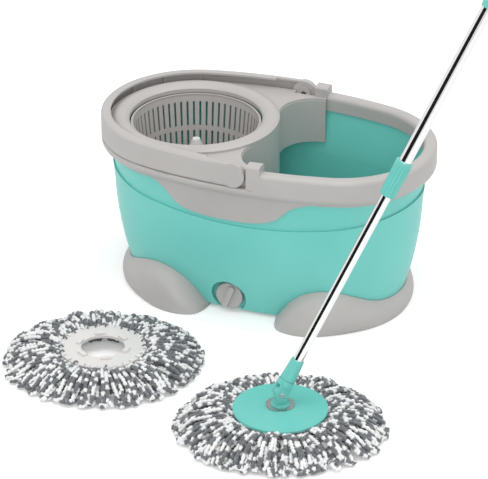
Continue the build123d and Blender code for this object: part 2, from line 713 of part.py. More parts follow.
SPINDLE_LENGTH = HUB_TOP + SEAT_GAP + SPINDLE_TIP - POST_TOP + SPINDLE_SINK
with BuildPart() as spindle:
    with Locations((BASKET_X, 0, POST_TOP - SPINDLE_SINK)):
        Cylinder(SPINDLE_RADIUS, SPINDLE_LENGTH, align=(Align.CENTER, Align.CENTER, Align.MIN))
    chamfer(spindle.edges().group_by(Axis.Z)[-1], EDGE_BREAK)
hand_in(spindle, "spindle", BUCKET)

with BuildPart() as thrust_washer:
    with BuildSketch(Plane.XY.offset(POST_TOP)):
        with Locations((BASKET_X, 0)):
            Circle(HUB_RADIUS)
            Circle(SPINDLE_RADIUS, mode=Mode.SUBTRACT)
    extrude(amount=WASHER_THICK)
hand_in(thrust_washer, "thrust_washer", BUCKET)

with BuildPart() as spindle_nut:
    with BuildSketch(Plane.XY.offset(HUB_TOP + SEAT_GAP)):
        with Locations((BASKET_X, 0)):
            RegularPolygon(NUT_FLATS / 2, 6, major_radius=False)
            Circle(SPINDLE_RADIUS, mode=Mode.SUBTRACT)
    extrude(amount=NUT_THICK)
hand_in(spindle_nut, "spindle_nut", BUCKET)

# Wringer basket, drawn about its own axis
SPIN = BUCKET * Location((BASKET_X, 0, 0))


def basket_radius(drop):
    """Outer radius of the basket's wall at a drop below its top."""
    return BASKET_RADIUS - (BASKET_RADIUS - BASKET_FLOOR_RADIUS) * drop / BASKET_DEPTH


with BuildPart() as basket_bowl:
    with BuildSketch(Plane.XZ):
        with BuildLine():
            Polyline(
                (BUSH_RADIUS, HUB_Z),
                (HUB_RADIUS, HUB_Z),
                (HUB_RADIUS, BASKET_FLOOR_Z),
                (BASKET_FLOOR_RADIUS, BASKET_FLOOR_Z),
                (BASKET_RADIUS, BASKET_TOP),
                (BASKET_RADIUS - BASKET_BEAD, BASKET_TOP),
                (basket_radius(BASKET_BEAD) - BASKET_WALL, BASKET_TOP - BASKET_BEAD),
                (BASKET_FLOOR_RADIUS - BASKET_WALL, BASKET_FLOOR_Z + BASKET_WALL),
                (HUB_RADIUS, BASKET_FLOOR_Z + BASKET_WALL),
                (HUB_RADIUS, HUB_TOP),
                (BUSH_RADIUS, HUB_TOP),
                close=True,
            )
        make_face()
    revolve(axis=Axis.Z)
    with Locations((0, 0, BASKET_TOP - UPPER_SLOT_TOP - UPPER_SLOT_LENGTH / 2)):
        with PolarLocations(BASKET_RADIUS, SLOT_COUNT):
            Box(4 * SLOT_BAND, SLOT_WIDTH, UPPER_SLOT_LENGTH, mode=Mode.SUBTRACT)
    with Locations((0, 0, BASKET_TOP - UPPER_SLOT_TOP - UPPER_SLOT_LENGTH - SLOT_BAND - LOWER_SLOT_LENGTH / 2)):
        with PolarLocations(BASKET_FLOOR_RADIUS, SLOT_COUNT):
            Box(4 * SLOT_BAND, SLOT_WIDTH, LOWER_SLOT_LENGTH, mode=Mode.SUBTRACT)
    with Locations((0, 0, BASKET_FLOOR_Z)):
        with PolarLocations(FLOOR_HOLE_PITCH_RADIUS, FLOOR_HOLE_COUNT):
            Cylinder(FLOOR_HOLE_RADIUS, 4 * BASKET_WALL, mode=Mode.SUBTRACT)
hand_in(basket_bowl, "basket_bowl", SPIN)

with BuildPart() as basket_bush:
    with BuildSketch(Plane.XY.offset(HUB_Z)):
        Circle(BUSH_RADIUS)
        Circle(SPINDLE_RADIUS + RUN_FIT, mode=Mode.SUBTRACT)
    extrude(amount=HUB_LENGTH)
hand_in(basket_bush, "basket_bush", SPIN)

CONE_Z = BASKET_FLOOR_Z + BASKET_WALL
CONE_TOP = CONE_Z + CONE_HEIGHT
with BuildPart() as basket_cone:
    with BuildSketch(Plane.XZ):
        with BuildLine():
            Polyline((0, CONE_Z), (0, CONE_TOP), (CONE_TIP_RADIUS, CONE_TOP))
            Line((CONE_TIP_RADIUS, CONE_TOP), (CONE_WAIST_RADIUS, CONE_TOP - CONE_WAIST_DROP))
            ThreePointArc(
                (CONE_WAIST_RADIUS, CONE_TOP - CONE_WAIST_DROP),
                bulged(
                    (CONE_WAIST_RADIUS, CONE_TOP - CONE_WAIST_DROP),
                    (CONE_FOOT_RADIUS, CONE_Z),
                    CONE_BULGE,
                ),
                (CONE_FOOT_RADIUS, CONE_Z),
            )
            Line((CONE_FOOT_RADIUS, CONE_Z), (0, CONE_Z))
        make_face()
    revolve(axis=Axis.Z)
    offset(amount=-CONE_WALL, openings=basket_cone.faces().sort_by(Axis.Z)[0])
hand_in(basket_cone, "basket_cone", SPIN)


# Feet: a pillow lofted round each end of the tub, highest at the corners
def foot_section(arc, heading, set_in, height, mirrored=False):
    """Section of a foot across the rim outline, at a heading on the end arc or from the middle of the side arc."""
    centre, radius = oval_arcs(RIM_LENGTH, RIM_WIDTH, RIM_END_RADIUS)[3 if arc == "side" else 0][:2]
    angle = math.radians(heading - 90 if arc == "side" else heading)
    hand = -1 if mirrored else 1
    out = Vector(math.cos(angle), hand * math.sin(angle), 0)
    rim = Vector(centre[0], hand * centre[1], 0) + out * radius
    edge = (-set_in, -SOLE_TRIM)
    crest = (belly_offset(height) + FOOT_EDGE, height)
    rise = FOOT_ROUND * math.dist(edge, crest)
    with BuildSketch(Plane(origin=rim, x_dir=out, z_dir=(out.Y, -out.X, 0))) as section:
        with BuildLine():
            ThreePointArc(edge, bulged(edge, crest, rise), crest)
            Polyline(crest, (-SOLE_DEPTH, height), (-SOLE_DEPTH, -SOLE_TRIM), edge)
        make_face()
    return section.sketch


with BuildPart() as foot_wash_end:
    front = [foot_section(*row) for row in FOOT_SECTIONS]
    back = [foot_section(*row, mirrored=True) for row in reversed(FOOT_SECTIONS)]
    loft([*front, foot_section(*FOOT_END), *back])
    with BuildSketch(Plane.XY):
        Rectangle(2 * RIM_LENGTH, 2 * RIM_WIDTH)
    extrude(amount=-2 * SOLE_TRIM, mode=Mode.SUBTRACT)
    add(rim_turned(tub_section(SHOULDER_STEP + SEAT_GAP, TUB_BASE, TUB_TOP)), mode=Mode.SUBTRACT)
    with BuildSketch(Plane.XY.offset(TUB_BASE)):
        add(rim_face(CORE_OFFSET + CORE_LAP))
    extrude(amount=TUB_HEIGHT, mode=Mode.SUBTRACT)
hand_in(foot_wash_end, "foot_wash_end", BUCKET)

with BuildPart() as foot_spinner_end:
    mirror(foot_wash_end.part, about=Plane.YZ)
hand_in(foot_spinner_end, "foot_spinner_end", BUCKET)


# Strand heads
def strands(radius, edge, neck_radius, neck_z, inner_radius, top_z):
    """Spread strands as one closed dome with a notched edge, hollow under its ring."""
    with BuildPart() as piece:
        with BuildSketch(Plane.XZ):
            with BuildLine():
                Polyline((inner_radius, 0), (radius - edge / 2, 0))
                ThreePointArc((radius - edge / 2, 0), (radius, edge / 2), (radius - edge / 2, edge))
                ThreePointArc(
                    (radius - edge / 2, edge),
                    bulged((neck_radius, neck_z), (radius - edge / 2, edge), -PAD_CROWN),
                    (neck_radius, neck_z),
                )
                Polyline((neck_radius, neck_z), (neck_radius, top_z), (inner_radius, top_z), (inner_radius, 0))
            make_face()
        revolve(axis=Axis.Z)
        with BuildSketch():
            with PolarLocations(radius - TUFT_NOTCH, TUFT_COUNT, start_angle=180 / TUFT_COUNT):
                Triangle(
                    a=TUFT_NOTCH_WIDTH,
                    b=TUFT_NOTCH + edge,
                    c=TUFT_NOTCH + edge,
                    rotation=90,
                    align=(Align.CENTER, Align.MAX),
                )
        extrude(amount=PIN_HEIGHT, mode=Mode.SUBTRACT)
    return piece


pad_strands = strands(
    PAD_RADIUS, PAD_EDGE, PAD_NECK_RADIUS, PLATE_Z - PAD_RING_THICK + PAD_LAP, PAD_RING_INNER, PLATE_Z - PAD_RING_THICK
)
hand_in(pad_strands, "pad_strands", MOP)

with BuildPart() as pad_ring:
    with BuildSketch(Plane.XY.offset(PLATE_Z - PAD_RING_THICK)):
        Circle(PAD_RING_OUTER)
        Circle(PAD_RING_INNER, mode=Mode.SUBTRACT)
    extrude(amount=PAD_RING_THICK)
hand_in(pad_ring, "pad_ring", MOP)

refill_strands = strands(
    REFILL_RADIUS, REFILL_EDGE, REFILL_RING_RADIUS + PAD_LAP, REFILL_RING_Z + PAD_LAP, REFILL_INNER, REFILL_RING_Z
)
hand_in(refill_strands, "refill_strands", REFILL)

with BuildPart() as refill_ring:
    with BuildSketch(Plane.XY.offset(REFILL_RING_Z)):
        Circle(REFILL_RING_RADIUS)
        Circle(REFILL_HOLE_RADIUS, mode=Mode.SUBTRACT)
    extrude(amount=REFILL_RING_THICK)
    with BuildSketch(Plane.XY.offset(REFILL_RING_Z + REFILL_RING_THICK)):
        with PolarLocations(REFILL_HOLE_RADIUS + TAB_WIDTH / 2 + TAB_SETBACK, TAB_COUNT):
            Rectangle(TAB_WIDTH, TAB_LENGTH)
    extrude(amount=TAB_RISE)
hand_in(refill_ring, "refill_ring", REFILL)

# Head plate, its steel washer and the lower hinge half
with BuildPart() as head_plate:
    with BuildSketch(Plane.XZ):
        with BuildLine():
            Polyline(
                (0, PLATE_Z),
                (PLATE_RADIUS, PLATE_Z),
                (PLATE_RADIUS, PLATE_Z + PLATE_THICK),
                (PLATE_RADIUS - PLATE_THICK, PLATE_Z + PLATE_THICK),
                (PLATE_HUB_RADIUS, PLATE_TOP),
                (0, PLATE_TOP),
                close=True,
            )
        make_face()
    revolve(axis=Axis.Z)
    fillet(head_plate.edges().filter_by(GeomType.CIRCLE).sort_by(SortBy.RADIUS)[-2:], EDGE_BREAK)
hand_in(head_plate, "head_plate", MOP)

with BuildPart() as plate_washer:
    with BuildSketch(Plane.XY.offset(PLATE_TOP)):
        Circle(WASHER_RADIUS)
        Circle(KNUCKLE_RADIUS, mode=Mode.SUBTRACT)
    extrude(amount=PLATE_WASHER_THICK)
hand_in(plate_washer, "plate_washer", MOP)

with BuildPart() as knuckle:
    with BuildSketch(Plane.XY.offset(PLATE_TOP)):
        Circle(KNUCKLE_RADIUS)
    extrude(amount=KNUCKLE_BASE)
    with BuildSketch(front_plane(0, TONGUE / 2, PIN_HEIGHT)):
        Circle(EYE_RADIUS)
        with BuildLine():
            Polyline(
                (-EYE_RADIUS, 0),
                (EYE_RADIUS, 0),
                (EYE_RADIUS, PLATE_TOP + KNUCKLE_BASE / 2 - PIN_HEIGHT),
                (-EYE_RADIUS, PLATE_TOP + KNUCKLE_BASE / 2 - PIN_HEIGHT),
                close=True,
            )
        make_face()
        Circle(HINGE_PIN_RADIUS + RUN_FIT, mode=Mode.SUBTRACT)
    extrude(amount=TONGUE)
hand_in(knuckle, "knuckle", MOP)

# Upper hinge half with the tube socket, and the hinge pin
YOKE_HALF = TONGUE / 2 + CHEEK_GAP + CHEEK
with BuildPart() as yoke_socket:
    with BuildSketch(front_plane(0, YOKE_HALF, 0)):
        Circle(EYE_RADIUS)
        with BuildLine():
            Polyline(
                (-EYE_RADIUS, 0),
                (EYE_RADIUS, 0),
                (EYE_RADIUS, YOKE_THROAT + CHEEK),
                (-EYE_RADIUS, YOKE_THROAT + CHEEK),
                close=True,
            )
        make_face()
    extrude(amount=2 * YOKE_HALF)
    with BuildSketch(Plane.XY.offset(YOKE_THROAT)):
        Circle(YOKE_RADIUS)
    with BuildSketch(Plane.XY.offset(YOKE_TOP)):
        Circle(YOKE_NECK_RADIUS)
    loft()
    with BuildSketch(Plane.XY.offset(YOKE_GROOVE_Z)):
        Circle(2 * YOKE_RADIUS)
        Circle(YOKE_RADIUS - (YOKE_RADIUS - YOKE_NECK_RADIUS) / 4 - YOKE_GROOVE_DEPTH, mode=Mode.SUBTRACT)
    extrude(amount=YOKE_GROOVE, mode=Mode.SUBTRACT)
    with Locations((0, 0, YOKE_GROOVE_Z + 2 * YOKE_GROOVE)):
        with PolarLocations(YOKE_RADIUS, YOKE_FLUTES):
            Cylinder(
                YOKE_FLUTE_RADIUS,
                YOKE_TOP,
                align=(Align.CENTER, Align.CENTER, Align.MIN),
                mode=Mode.SUBTRACT,
            )
    with Locations((0, 0, YOKE_THROAT / 2 - EYE_RADIUS / 2)):
        Box(
            4 * EYE_RADIUS,
            TONGUE + 2 * CHEEK_GAP,
            YOKE_THROAT + EYE_RADIUS,
            mode=Mode.SUBTRACT,
        )
    Cylinder(HINGE_PIN_RADIUS, 4 * YOKE_HALF, rotation=(90, 0, 0), mode=Mode.SUBTRACT)
    with Locations((0, 0, YOKE_TOP - SOCKET_DEPTH)):
        Cylinder(
            LOWER_TUBE_RADIUS,
            2 * SOCKET_DEPTH,
            align=(Align.CENTER, Align.CENTER, Align.MIN),
            mode=Mode.SUBTRACT,
        )
hand_in(yoke_socket, "yoke_socket", POLE)

with BuildPart() as hinge_pin:
    Cylinder(HINGE_PIN_RADIUS, 2 * YOKE_HALF, rotation=(90, 0, 0))
    for side in (-1, 1):
        with Locations((0, side * (YOKE_HALF + PIN_HEAD / 2), 0)):
            Cylinder(PIN_HEAD_RADIUS, PIN_HEAD, rotation=(90, 0, 0))
    fillet(hinge_pin.faces().filter_by(Axis.Y).sort_by(Axis.Y)[0].edges(), EDGE_BREAK)
    fillet(hinge_pin.faces().filter_by(Axis.Y).sort_by(Axis.Y)[-1].edges(), EDGE_BREAK)
hand_in(hinge_pin, "hinge_pin", POLE)

# Telescopic tubes
with BuildPart() as lower_tube:
    with BuildSketch(Plane.XY.offset(YOKE_TOP - SOCKET_DEPTH)):
        Circle(LOWER_TUBE_RADIUS)
        Circle(LOWER_BORE, mode=Mode.SUBTRACT)
    extrude(amount=LOWER_TUBE_TOP - YOKE_TOP + SOCKET_DEPTH)
hand_in(lower_tube, "lower_tube", POLE)

with BuildPart() as upper_tube:
    with BuildSketch(Plane.XY.offset(UPPER_TUBE_Z)):
        Circle(UPPER_TUBE_RADIUS)
        Circle(UPPER_BORE, mode=Mode.SUBTRACT)
    extrude(amount=PLUG_TOP - UPPER_TUBE_Z)
hand_in(upper_tube, "upper_tube", POLE)

# Spiral drive: slotted nut that turns on the lower tube, twisted rod hung from a plug in the upper tube
NUT_Z = LOWER_TUBE_TOP - DRIVE_NUT_THICK
PLUG_Z = PLUG_TOP - PLUG_LENGTH
ROD_Z = NUT_Z - ROD_BELOW_NUT
ROD_LENGTH = PLUG_Z - ROD_Z
ROD_STATION = ROD_LEAD / STATIONS_PER_TURN


def rod_turn(height):
    """Angle of the rod's flat at a height, zero at the middle of the nut."""
    return 360 * (height - NUT_Z - (DRIVE_NUT_THICK + NUT_FLANGE) / 2) / ROD_LEAD


with BuildPart() as drive_nut:
    with BuildSketch(Plane.XY.offset(NUT_Z)):
        Circle(LOWER_BORE - RUN_FIT)
    extrude(amount=DRIVE_NUT_THICK)
    with BuildSketch(Plane.XY.offset(LOWER_TUBE_TOP)):
        Circle(UPPER_BORE - RUN_FIT)
    extrude(amount=NUT_FLANGE)
    with BuildSketch(Plane.XY.offset(NUT_Z)):
        Rectangle(ROD_WIDTH + 2 * ROD_SLOT_GAP, ROD_THICK + 2 * ROD_SLOT_GAP)
    extrude(amount=DRIVE_NUT_THICK + NUT_FLANGE, mode=Mode.SUBTRACT)
hand_in(drive_nut, "drive_nut", POLE)

with BuildPart() as spiral_rod:
    for station in range(round(ROD_LENGTH / ROD_STATION) + 1):
        height = ROD_Z + ROD_LENGTH * station / round(ROD_LENGTH / ROD_STATION)
        with BuildSketch(Plane.XY.offset(height)):
            Rectangle(ROD_WIDTH, ROD_THICK, rotation=rod_turn(height))
    loft()
hand_in(spiral_rod, "spiral_rod", POLE)

with BuildPart() as rod_plug:
    with BuildSketch(Plane.XY.offset(PLUG_Z)):
        Circle(UPPER_BORE)
    extrude(amount=PLUG_LENGTH)
hand_in(rod_plug, "rod_plug", POLE)

with BuildPart() as guide_bush:
    with BuildSketch(Plane.XY.offset(LOWER_TUBE_TOP - BUSH_LENGTH)):
        Circle(UPPER_BORE - RUN_FIT)
        Circle(LOWER_TUBE_RADIUS + RUN_FIT, mode=Mode.SUBTRACT)
    extrude(amount=BUSH_LENGTH)
hand_in(guide_bush, "guide_bush", POLE)

# Twist lock: fluted collar over a slit sleeve
with BuildPart() as clamp_sleeve:
    with BuildSketch(Plane.XY.offset(COLLAR_Z + SEAT_GAP)):
        Circle(UPPER_TUBE_RADIUS)
        Circle(LOWER_TUBE_RADIUS + RUN_FIT, mode=Mode.SUBTRACT)
    extrude(amount=UPPER_TUBE_Z - COLLAR_Z - SEAT_GAP)
    with Locations((0, UPPER_TUBE_RADIUS, COLLAR_Z)):
        Box(SLEEVE_SLIT, UPPER_TUBE_RADIUS, SLEEVE_SLIT_LENGTH, mode=Mode.SUBTRACT)
hand_in(clamp_sleeve, "clamp_sleeve", POLE)

with BuildPart() as lock_collar:
    for height, radius in ((COLLAR_Z, COLLAR_FOOT_RADIUS), (COLLAR_RIM_Z, COLLAR_TOP_RADIUS)):
        with BuildSketch(Plane.XY.offset(height)):
            Circle(radius)
            with PolarLocations(radius + COLLAR_FLUTE_OUT, COLLAR_FLUTES):
                Circle(COLLAR_FLUTE_RADIUS, mode=Mode.SUBTRACT)
    loft()
    with BuildSketch(Plane.XY.offset(COLLAR_RIM_Z)):
        Circle(COLLAR_TOP_RADIUS)
    extrude(amount=COLLAR_RIM)
    with Locations((0, 0, COLLAR_Z + COLLAR_LENGTH / 2)):
        Cylinder(UPPER_TUBE_RADIUS + RUN_FIT, 2 * COLLAR_LENGTH, mode=Mode.SUBTRACT)
    with Locations((0, 0, UPPER_TUBE_Z)):
        Cylinder(
            UPPER_TUBE_RADIUS + SEAT_GAP,
            2 * COLLAR_LENGTH,
            align=(Align.CENTER, Align.CENTER, Align.MAX),
            mode=Mode.SUBTRACT,
        )
hand_in(lock_collar, "lock_collar", POLE)

# Grip with a hang hole
with BuildPart() as grip:
    with BuildSketch(Plane.XZ):
        with BuildLine():
            Polyline((0, GRIP_TOP), (0, GRIP_Z), (GRIP_FOOT_RADIUS, GRIP_Z))
            Spline(
                (GRIP_FOOT_RADIUS, GRIP_Z),
                (GRIP_RADIUS, GRIP_Z + GRIP_SWELL_Z),
                (GRIP_WAIST_RADIUS, GRIP_Z + GRIP_WAIST_Z),
                (GRIP_RADIUS, GRIP_TOP - GRIP_RADIUS),
                tangents=[(0.1, 1), (0, 1)],
            )
            ThreePointArc(
                (GRIP_RADIUS, GRIP_TOP - GRIP_RADIUS),
                (GRIP_RADIUS * math.sqrt(0.5), GRIP_TOP - GRIP_RADIUS * (1 - math.sqrt(0.5))),
                (0, GRIP_TOP),
            )
        make_face()
    revolve(axis=Axis.Z)
    with Locations((0, 0, GRIP_TOP - HANG_HOLE_DROP)):
        Cylinder(HANG_HOLE_RADIUS, 4 * GRIP_RADIUS, rotation=(90, 0, 0), mode=Mode.SUBTRACT)
    with Locations((0, 0, PLUG_TOP)):
        Cylinder(
            UPPER_TUBE_RADIUS,
            2 * GRIP_LENGTH,
            align=(Align.CENTER, Align.CENTER, Align.MAX),
            mode=Mode.SUBTRACT,
        )
hand_in(grip, "grip", POLE)
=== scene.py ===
"""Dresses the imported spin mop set: plastics, polished tubes and two heads of looped yarn."""

import logging
import math
import random
from dataclasses import dataclass
from enum import Enum
from typing import Any, Iterable

import bmesh
import bpy
from mathutils import Matrix, Vector

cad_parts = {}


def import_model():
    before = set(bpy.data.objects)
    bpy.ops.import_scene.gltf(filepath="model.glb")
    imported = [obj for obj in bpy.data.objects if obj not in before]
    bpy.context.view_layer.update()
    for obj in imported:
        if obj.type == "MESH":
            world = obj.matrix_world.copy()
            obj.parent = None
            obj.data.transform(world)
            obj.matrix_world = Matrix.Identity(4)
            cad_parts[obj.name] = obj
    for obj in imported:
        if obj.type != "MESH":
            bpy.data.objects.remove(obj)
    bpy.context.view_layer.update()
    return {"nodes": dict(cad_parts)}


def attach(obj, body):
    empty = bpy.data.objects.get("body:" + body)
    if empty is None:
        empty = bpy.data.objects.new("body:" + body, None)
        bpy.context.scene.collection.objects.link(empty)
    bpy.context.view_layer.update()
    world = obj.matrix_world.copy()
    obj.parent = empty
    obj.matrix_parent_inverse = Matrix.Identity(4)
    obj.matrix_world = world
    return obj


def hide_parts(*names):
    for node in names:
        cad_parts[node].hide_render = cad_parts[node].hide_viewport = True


LOG = logging.getLogger("spin_mop_set")
MM = 0.001
WHITE = (1, 1, 1, 1)
BLACK = (0, 0, 0, 1)
TONE = "tone"
# A Mix node has sockets for each kind of data, and these are the numbers of its colour sockets.
MIX_COLOUR_A = "6"
MIX_COLOUR_B = "7"
MIX_COLOUR_OUT = 2


class Body(Enum):
    """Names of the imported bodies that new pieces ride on."""

    MOP_HEAD = "mop_head"
    REFILL = "refill"


def linear(hex_colour: str) -> tuple[float, float, float, float]:
    """Turns an sRGB hex colour into linear RGBA.

    Args:
        hex_colour: Six hex digits, with or without a leading hash.

    Returns:
        Linear red, green, blue and an alpha of 1.
    """
    digits = hex_colour.lstrip("#")
    channels = [int(digits[i : i + 2], 16) / 255 for i in (0, 2, 4)]
    curved = [c / 12.92 if c <= 0.04045 else ((c + 0.055) / 1.055) ** 2.4 for c in channels]
    return (curved[0], curved[1], curved[2], 1.0)


def add_node(
    tree: bpy.types.NodeTree, kind: str, links: dict[str, Any] | None = None, **settings: Any
) -> bpy.types.Node:
    """Adds one shader node with its settings and its incoming links.

    Args:
        tree: Node tree that gets the node.
        kind: Blender's name of the node type.
        links: Input name to an output socket to link, or to a plain value to set.
        **settings: Properties of the node itself.

    Returns:
        The new node.
    """
    node = tree.nodes.new(kind)
    for name, value in settings.items():
        setattr(node, name, value)
    for name, value in (links or {}).items():
        socket = node.inputs[int(name)] if name.isdigit() else node.inputs[name]
        if isinstance(value, bpy.types.NodeSocket):
            tree.links.new(value, socket)
        else:
            socket.default_value = value
    return node


def add_noise(
    tree: bpy.types.NodeTree, place: bpy.types.NodeSocket, size_mm: float, detail: float
) -> bpy.types.NodeSocket:
    """Adds a noise pattern of a real size.

    Args:
        tree: Node tree that gets the pattern.
        place: Coordinates that the pattern lies on.
        size_mm: Size of one blot of the noise.
        detail: Octaves of finer noise.

    Returns:
        The noise's value.
    """
    scale = 1 / (size_mm * MM)
    node = add_node(tree, "ShaderNodeTexNoise", {"Vector": place, "Scale": scale, "Detail": detail})
    return node.outputs["Fac"]


def add_bump(
    tree: bpy.types.NodeTree,
    shader: bpy.types.Node,
    height: bpy.types.NodeSocket,
    strength: float,
    depth_mm: float,
) -> None:
    """Gives a shader a bump from a pattern.

    Args:
        tree: Node tree of the shader.
        shader: Principled node.
        height: Pattern that says how high the surface stands.
        strength: Share of the bump that shows.
        depth_mm: Height of the bump.
    """
    links = {"Height": height, "Strength": strength, "Distance": depth_mm * MM}
    bump = add_node(tree, "ShaderNodeBump", links)
    tree.links.new(bump.outputs["Normal"], shader.inputs["Normal"])


def new_material(name: str) -> tuple[bpy.types.Material, bpy.types.NodeTree, bpy.types.Node]:
    """Makes an empty node material with a Principled shader.

    Args:
        name: Name of the material.

    Returns:
        The material, its node tree and the Principled node.
    """
    material = bpy.data.materials.new(name)
    material.use_nodes = True
    tree = material.node_tree
    tree.nodes.clear()
    shader = add_node(tree, "ShaderNodeBsdfPrincipled")
    add_node(tree, "ShaderNodeOutputMaterial", {"Surface": shader.outputs["BSDF"]})
    return material, tree, shader


@dataclass(frozen=True)
class MouldedPlastic:
    """Injection-moulded polypropylene.

    It shows an even colour, a satin skin, faint flow mottling and a spark-eroded grain.

    Attributes:
        name: Name of the material.
        colour: Main colour, as sRGB hex.
        shade: Colour of the mottling, as sRGB hex.
        roughness: Mean roughness of the skin.
        gloss_spread: How far the roughness strays from its mean.
        grain_mm: Size of the grain.
        grain_strength: Share of the grain's bump that shows.
        grain_detail: Octaves of finer noise in the grain.
        grain_low: Value of the grain where the skin is smoothest.
        grain_high: Value of the grain where the skin is roughest.
        mottle_mm: Size of the mottling.
        mottle_detail: Octaves of finer noise in the mottling.
        ior: Refractive index.
    """

    name: str
    colour: str
    shade: str
    roughness: float
    gloss_spread: float = 0.05
    grain_mm: float = 1.4
    grain_strength: float = 0.05
    grain_detail: float = 3.0
    grain_low: float = 0.3
    grain_high: float = 0.7
    mottle_mm: float = 60.0
    mottle_detail: float = 2.0
    ior: float = 1.49

    def build(self) -> bpy.types.Material:
        """Makes the material with mottled colour, uneven gloss and a fine grain.

        Returns:
            The material.
        """
        material, tree, shader = new_material(self.name)
        place = add_node(tree, "ShaderNodeTexCoord").outputs["Object"]
        # Flow mottling is far wider than the mould's grain, so two noises carry the two sizes.
        flow = add_noise(tree, place, self.mottle_mm, self.mottle_detail)
        grain = add_noise(tree, place, self.grain_mm, self.grain_detail)
        tint = add_node(
            tree,
            "ShaderNodeMix",
            {
                "Factor": flow,
                MIX_COLOUR_A: linear(self.shade),
                MIX_COLOUR_B: linear(self.colour),
            },
            data_type="RGBA",
        )
        gloss = add_node(
            tree,
            "ShaderNodeMapRange",
            {
                "Value": grain,
                "From Min": self.grain_low,
                "From Max": self.grain_high,
                "To Min": self.roughness - self.gloss_spread,
                "To Max": self.roughness + self.gloss_spread,
            },
        )
        tree.links.new(tint.outputs[MIX_COLOUR_OUT], shader.inputs["Base Color"])
        tree.links.new(gloss.outputs["Result"], shader.inputs["Roughness"])
        add_bump(tree, shader, grain, self.grain_strength, self.grain_mm)
        shader.inputs["IOR"].default_value = self.ior
        return material


@dataclass(frozen=True)
class DrawnTube:
    """Polished stainless tube: bright, with hairline draw marks that run along the tube.

    Attributes:
        name: Name of the material.
        colour: Colour of the metal, as sRGB hex.
        roughness: Roughness that the two shares below apply to.
        along: Direction of the draw marks.
        line_mm: Width of a draw mark.
        line_detail: Octaves of finer noise in the marks.
        line_strength: Share of the marks' bump that shows.
        line_height_mm: Height of that bump.
        stretch: Length of a mark, in widths.
        smoothest: Least roughness, as a share.
        roughest: Greatest roughness, as a share.
    """

    name: str
    colour: str
    roughness: float
    along: tuple[float, float, float]
    line_mm: float = 0.9
    line_detail: float = 2.0
    line_strength: float = 0.02
    line_height_mm: float = 0.1
    stretch: float = 60.0
    smoothest: float = 0.7
    roughest: float = 1.5

    def build(self) -> bpy.types.Material:
        """Makes the metal with draw marks stretched along the tube's axis.

        Returns:
            The material.
        """
        material, tree, shader = new_material(self.name)
        place = add_node(tree, "ShaderNodeTexCoord").outputs["Object"]
        turn = Vector(self.along).to_track_quat("Z", "Y").inverted().to_euler()
        fine = 1 / (self.line_mm * MM)
        # The hairlines are drawn about three times as wide as real ones, so that they show at all.
        turned = add_node(tree, "ShaderNodeMapping", {"Vector": place, "Rotation": tuple(turn)})
        stretched = add_node(
            tree,
            "ShaderNodeMapping",
            {"Vector": turned.outputs["Vector"], "Scale": (fine, fine, fine / self.stretch)},
        )
        noise = add_node(
            tree,
            "ShaderNodeTexNoise",
            {"Vector": stretched.outputs["Vector"], "Scale": 1.0, "Detail": self.line_detail},
        )
        lines = noise.outputs["Fac"]
        gloss = add_node(
            tree,
            "ShaderNodeMapRange",
            {
                "Value": lines,
                "To Min": self.roughness * self.smoothest,
                "To Max": self.roughness * self.roughest,
            },
        )
        shader.inputs["Base Color"].default_value = linear(self.colour)
        shader.inputs["Metallic"].default_value = 1.0
        tree.links.new(gloss.outputs["Result"], shader.inputs["Roughness"])
        add_bump(tree, shader, lines, self.line_strength, self.line_height_mm)
        return material


@dataclass(frozen=True)
class ChenilleYarn:
    """Looped microfibre yarn.

    It shows soft grey and white tufts in turn, with a fibrous nap that scatters light.

    Attributes:
        name: Name of the material.
        dark: Colour of dark tufts, as sRGB hex.
        mid: Colour between dark and pale, as sRGB hex.
        pale: Colour of pale tufts, as sRGB hex.
        dark_at: Tone that has the dark colour.
        mid_at: Tone that has the colour between.
        pale_at: Tone that has the pale colour.
        nap_mm: Size of the nap.
        nap_detail: Octaves of finer noise in the nap.
        nap_strength: Share of the nap's bump that shows.
        ruffle: How far the nap shifts the tone.
        roughness: Roughness of the fibres.
        sheen: Weight of the fibres' sheen.
        sheen_roughness: Roughness of that sheen.
    """

    name: str
    dark: str
    mid: str
    pale: str
    dark_at: float = 0.3
    mid_at: float = 0.55
    pale_at: float = 0.9
    nap_mm: float = 1.1
    nap_detail: float = 4.0
    nap_strength: float = 0.6
    ruffle: float = 0.35
    roughness: float = 0.95
    sheen: float = 0.3
    sheen_roughness: float = 0.6

    def build(self) -> bpy.types.Material:
        """Makes the yarn, whose tone attribute says how pale each tuft is.

        Returns:
            The material.
        """
        material, tree, shader = new_material(self.name)
        place = add_node(tree, "ShaderNodeTexCoord").outputs["Object"]
        tone = add_node(tree, "ShaderNodeAttribute", attribute_name=TONE)
        nap = add_noise(tree, place, self.nap_mm, self.nap_detail)
        ruffled = add_node(
            tree,
            "ShaderNodeMath",
            {"0": nap, "1": self.ruffle, "2": tone.outputs["Fac"]},
            operation="MULTIPLY_ADD",
        )
        ramp = add_node(tree, "ShaderNodeValToRGB", {"Fac": ruffled.outputs["Value"]})
        stops = ramp.color_ramp.elements
        stops[0].position, stops[0].color = self.dark_at, linear(self.dark)
        stops[1].position, stops[1].color = self.pale_at, linear(self.pale)
        stops.new(self.mid_at).color = linear(self.mid)
        tree.links.new(ramp.outputs["Color"], shader.inputs["Base Color"])
        add_bump(tree, shader, nap, self.nap_strength, self.nap_mm)
        shader.inputs["Roughness"].default_value = self.roughness
        shader.inputs["Sheen Weight"].default_value = self.sheen
        shader.inputs["Sheen Roughness"].default_value = self.sheen_roughness
        return material


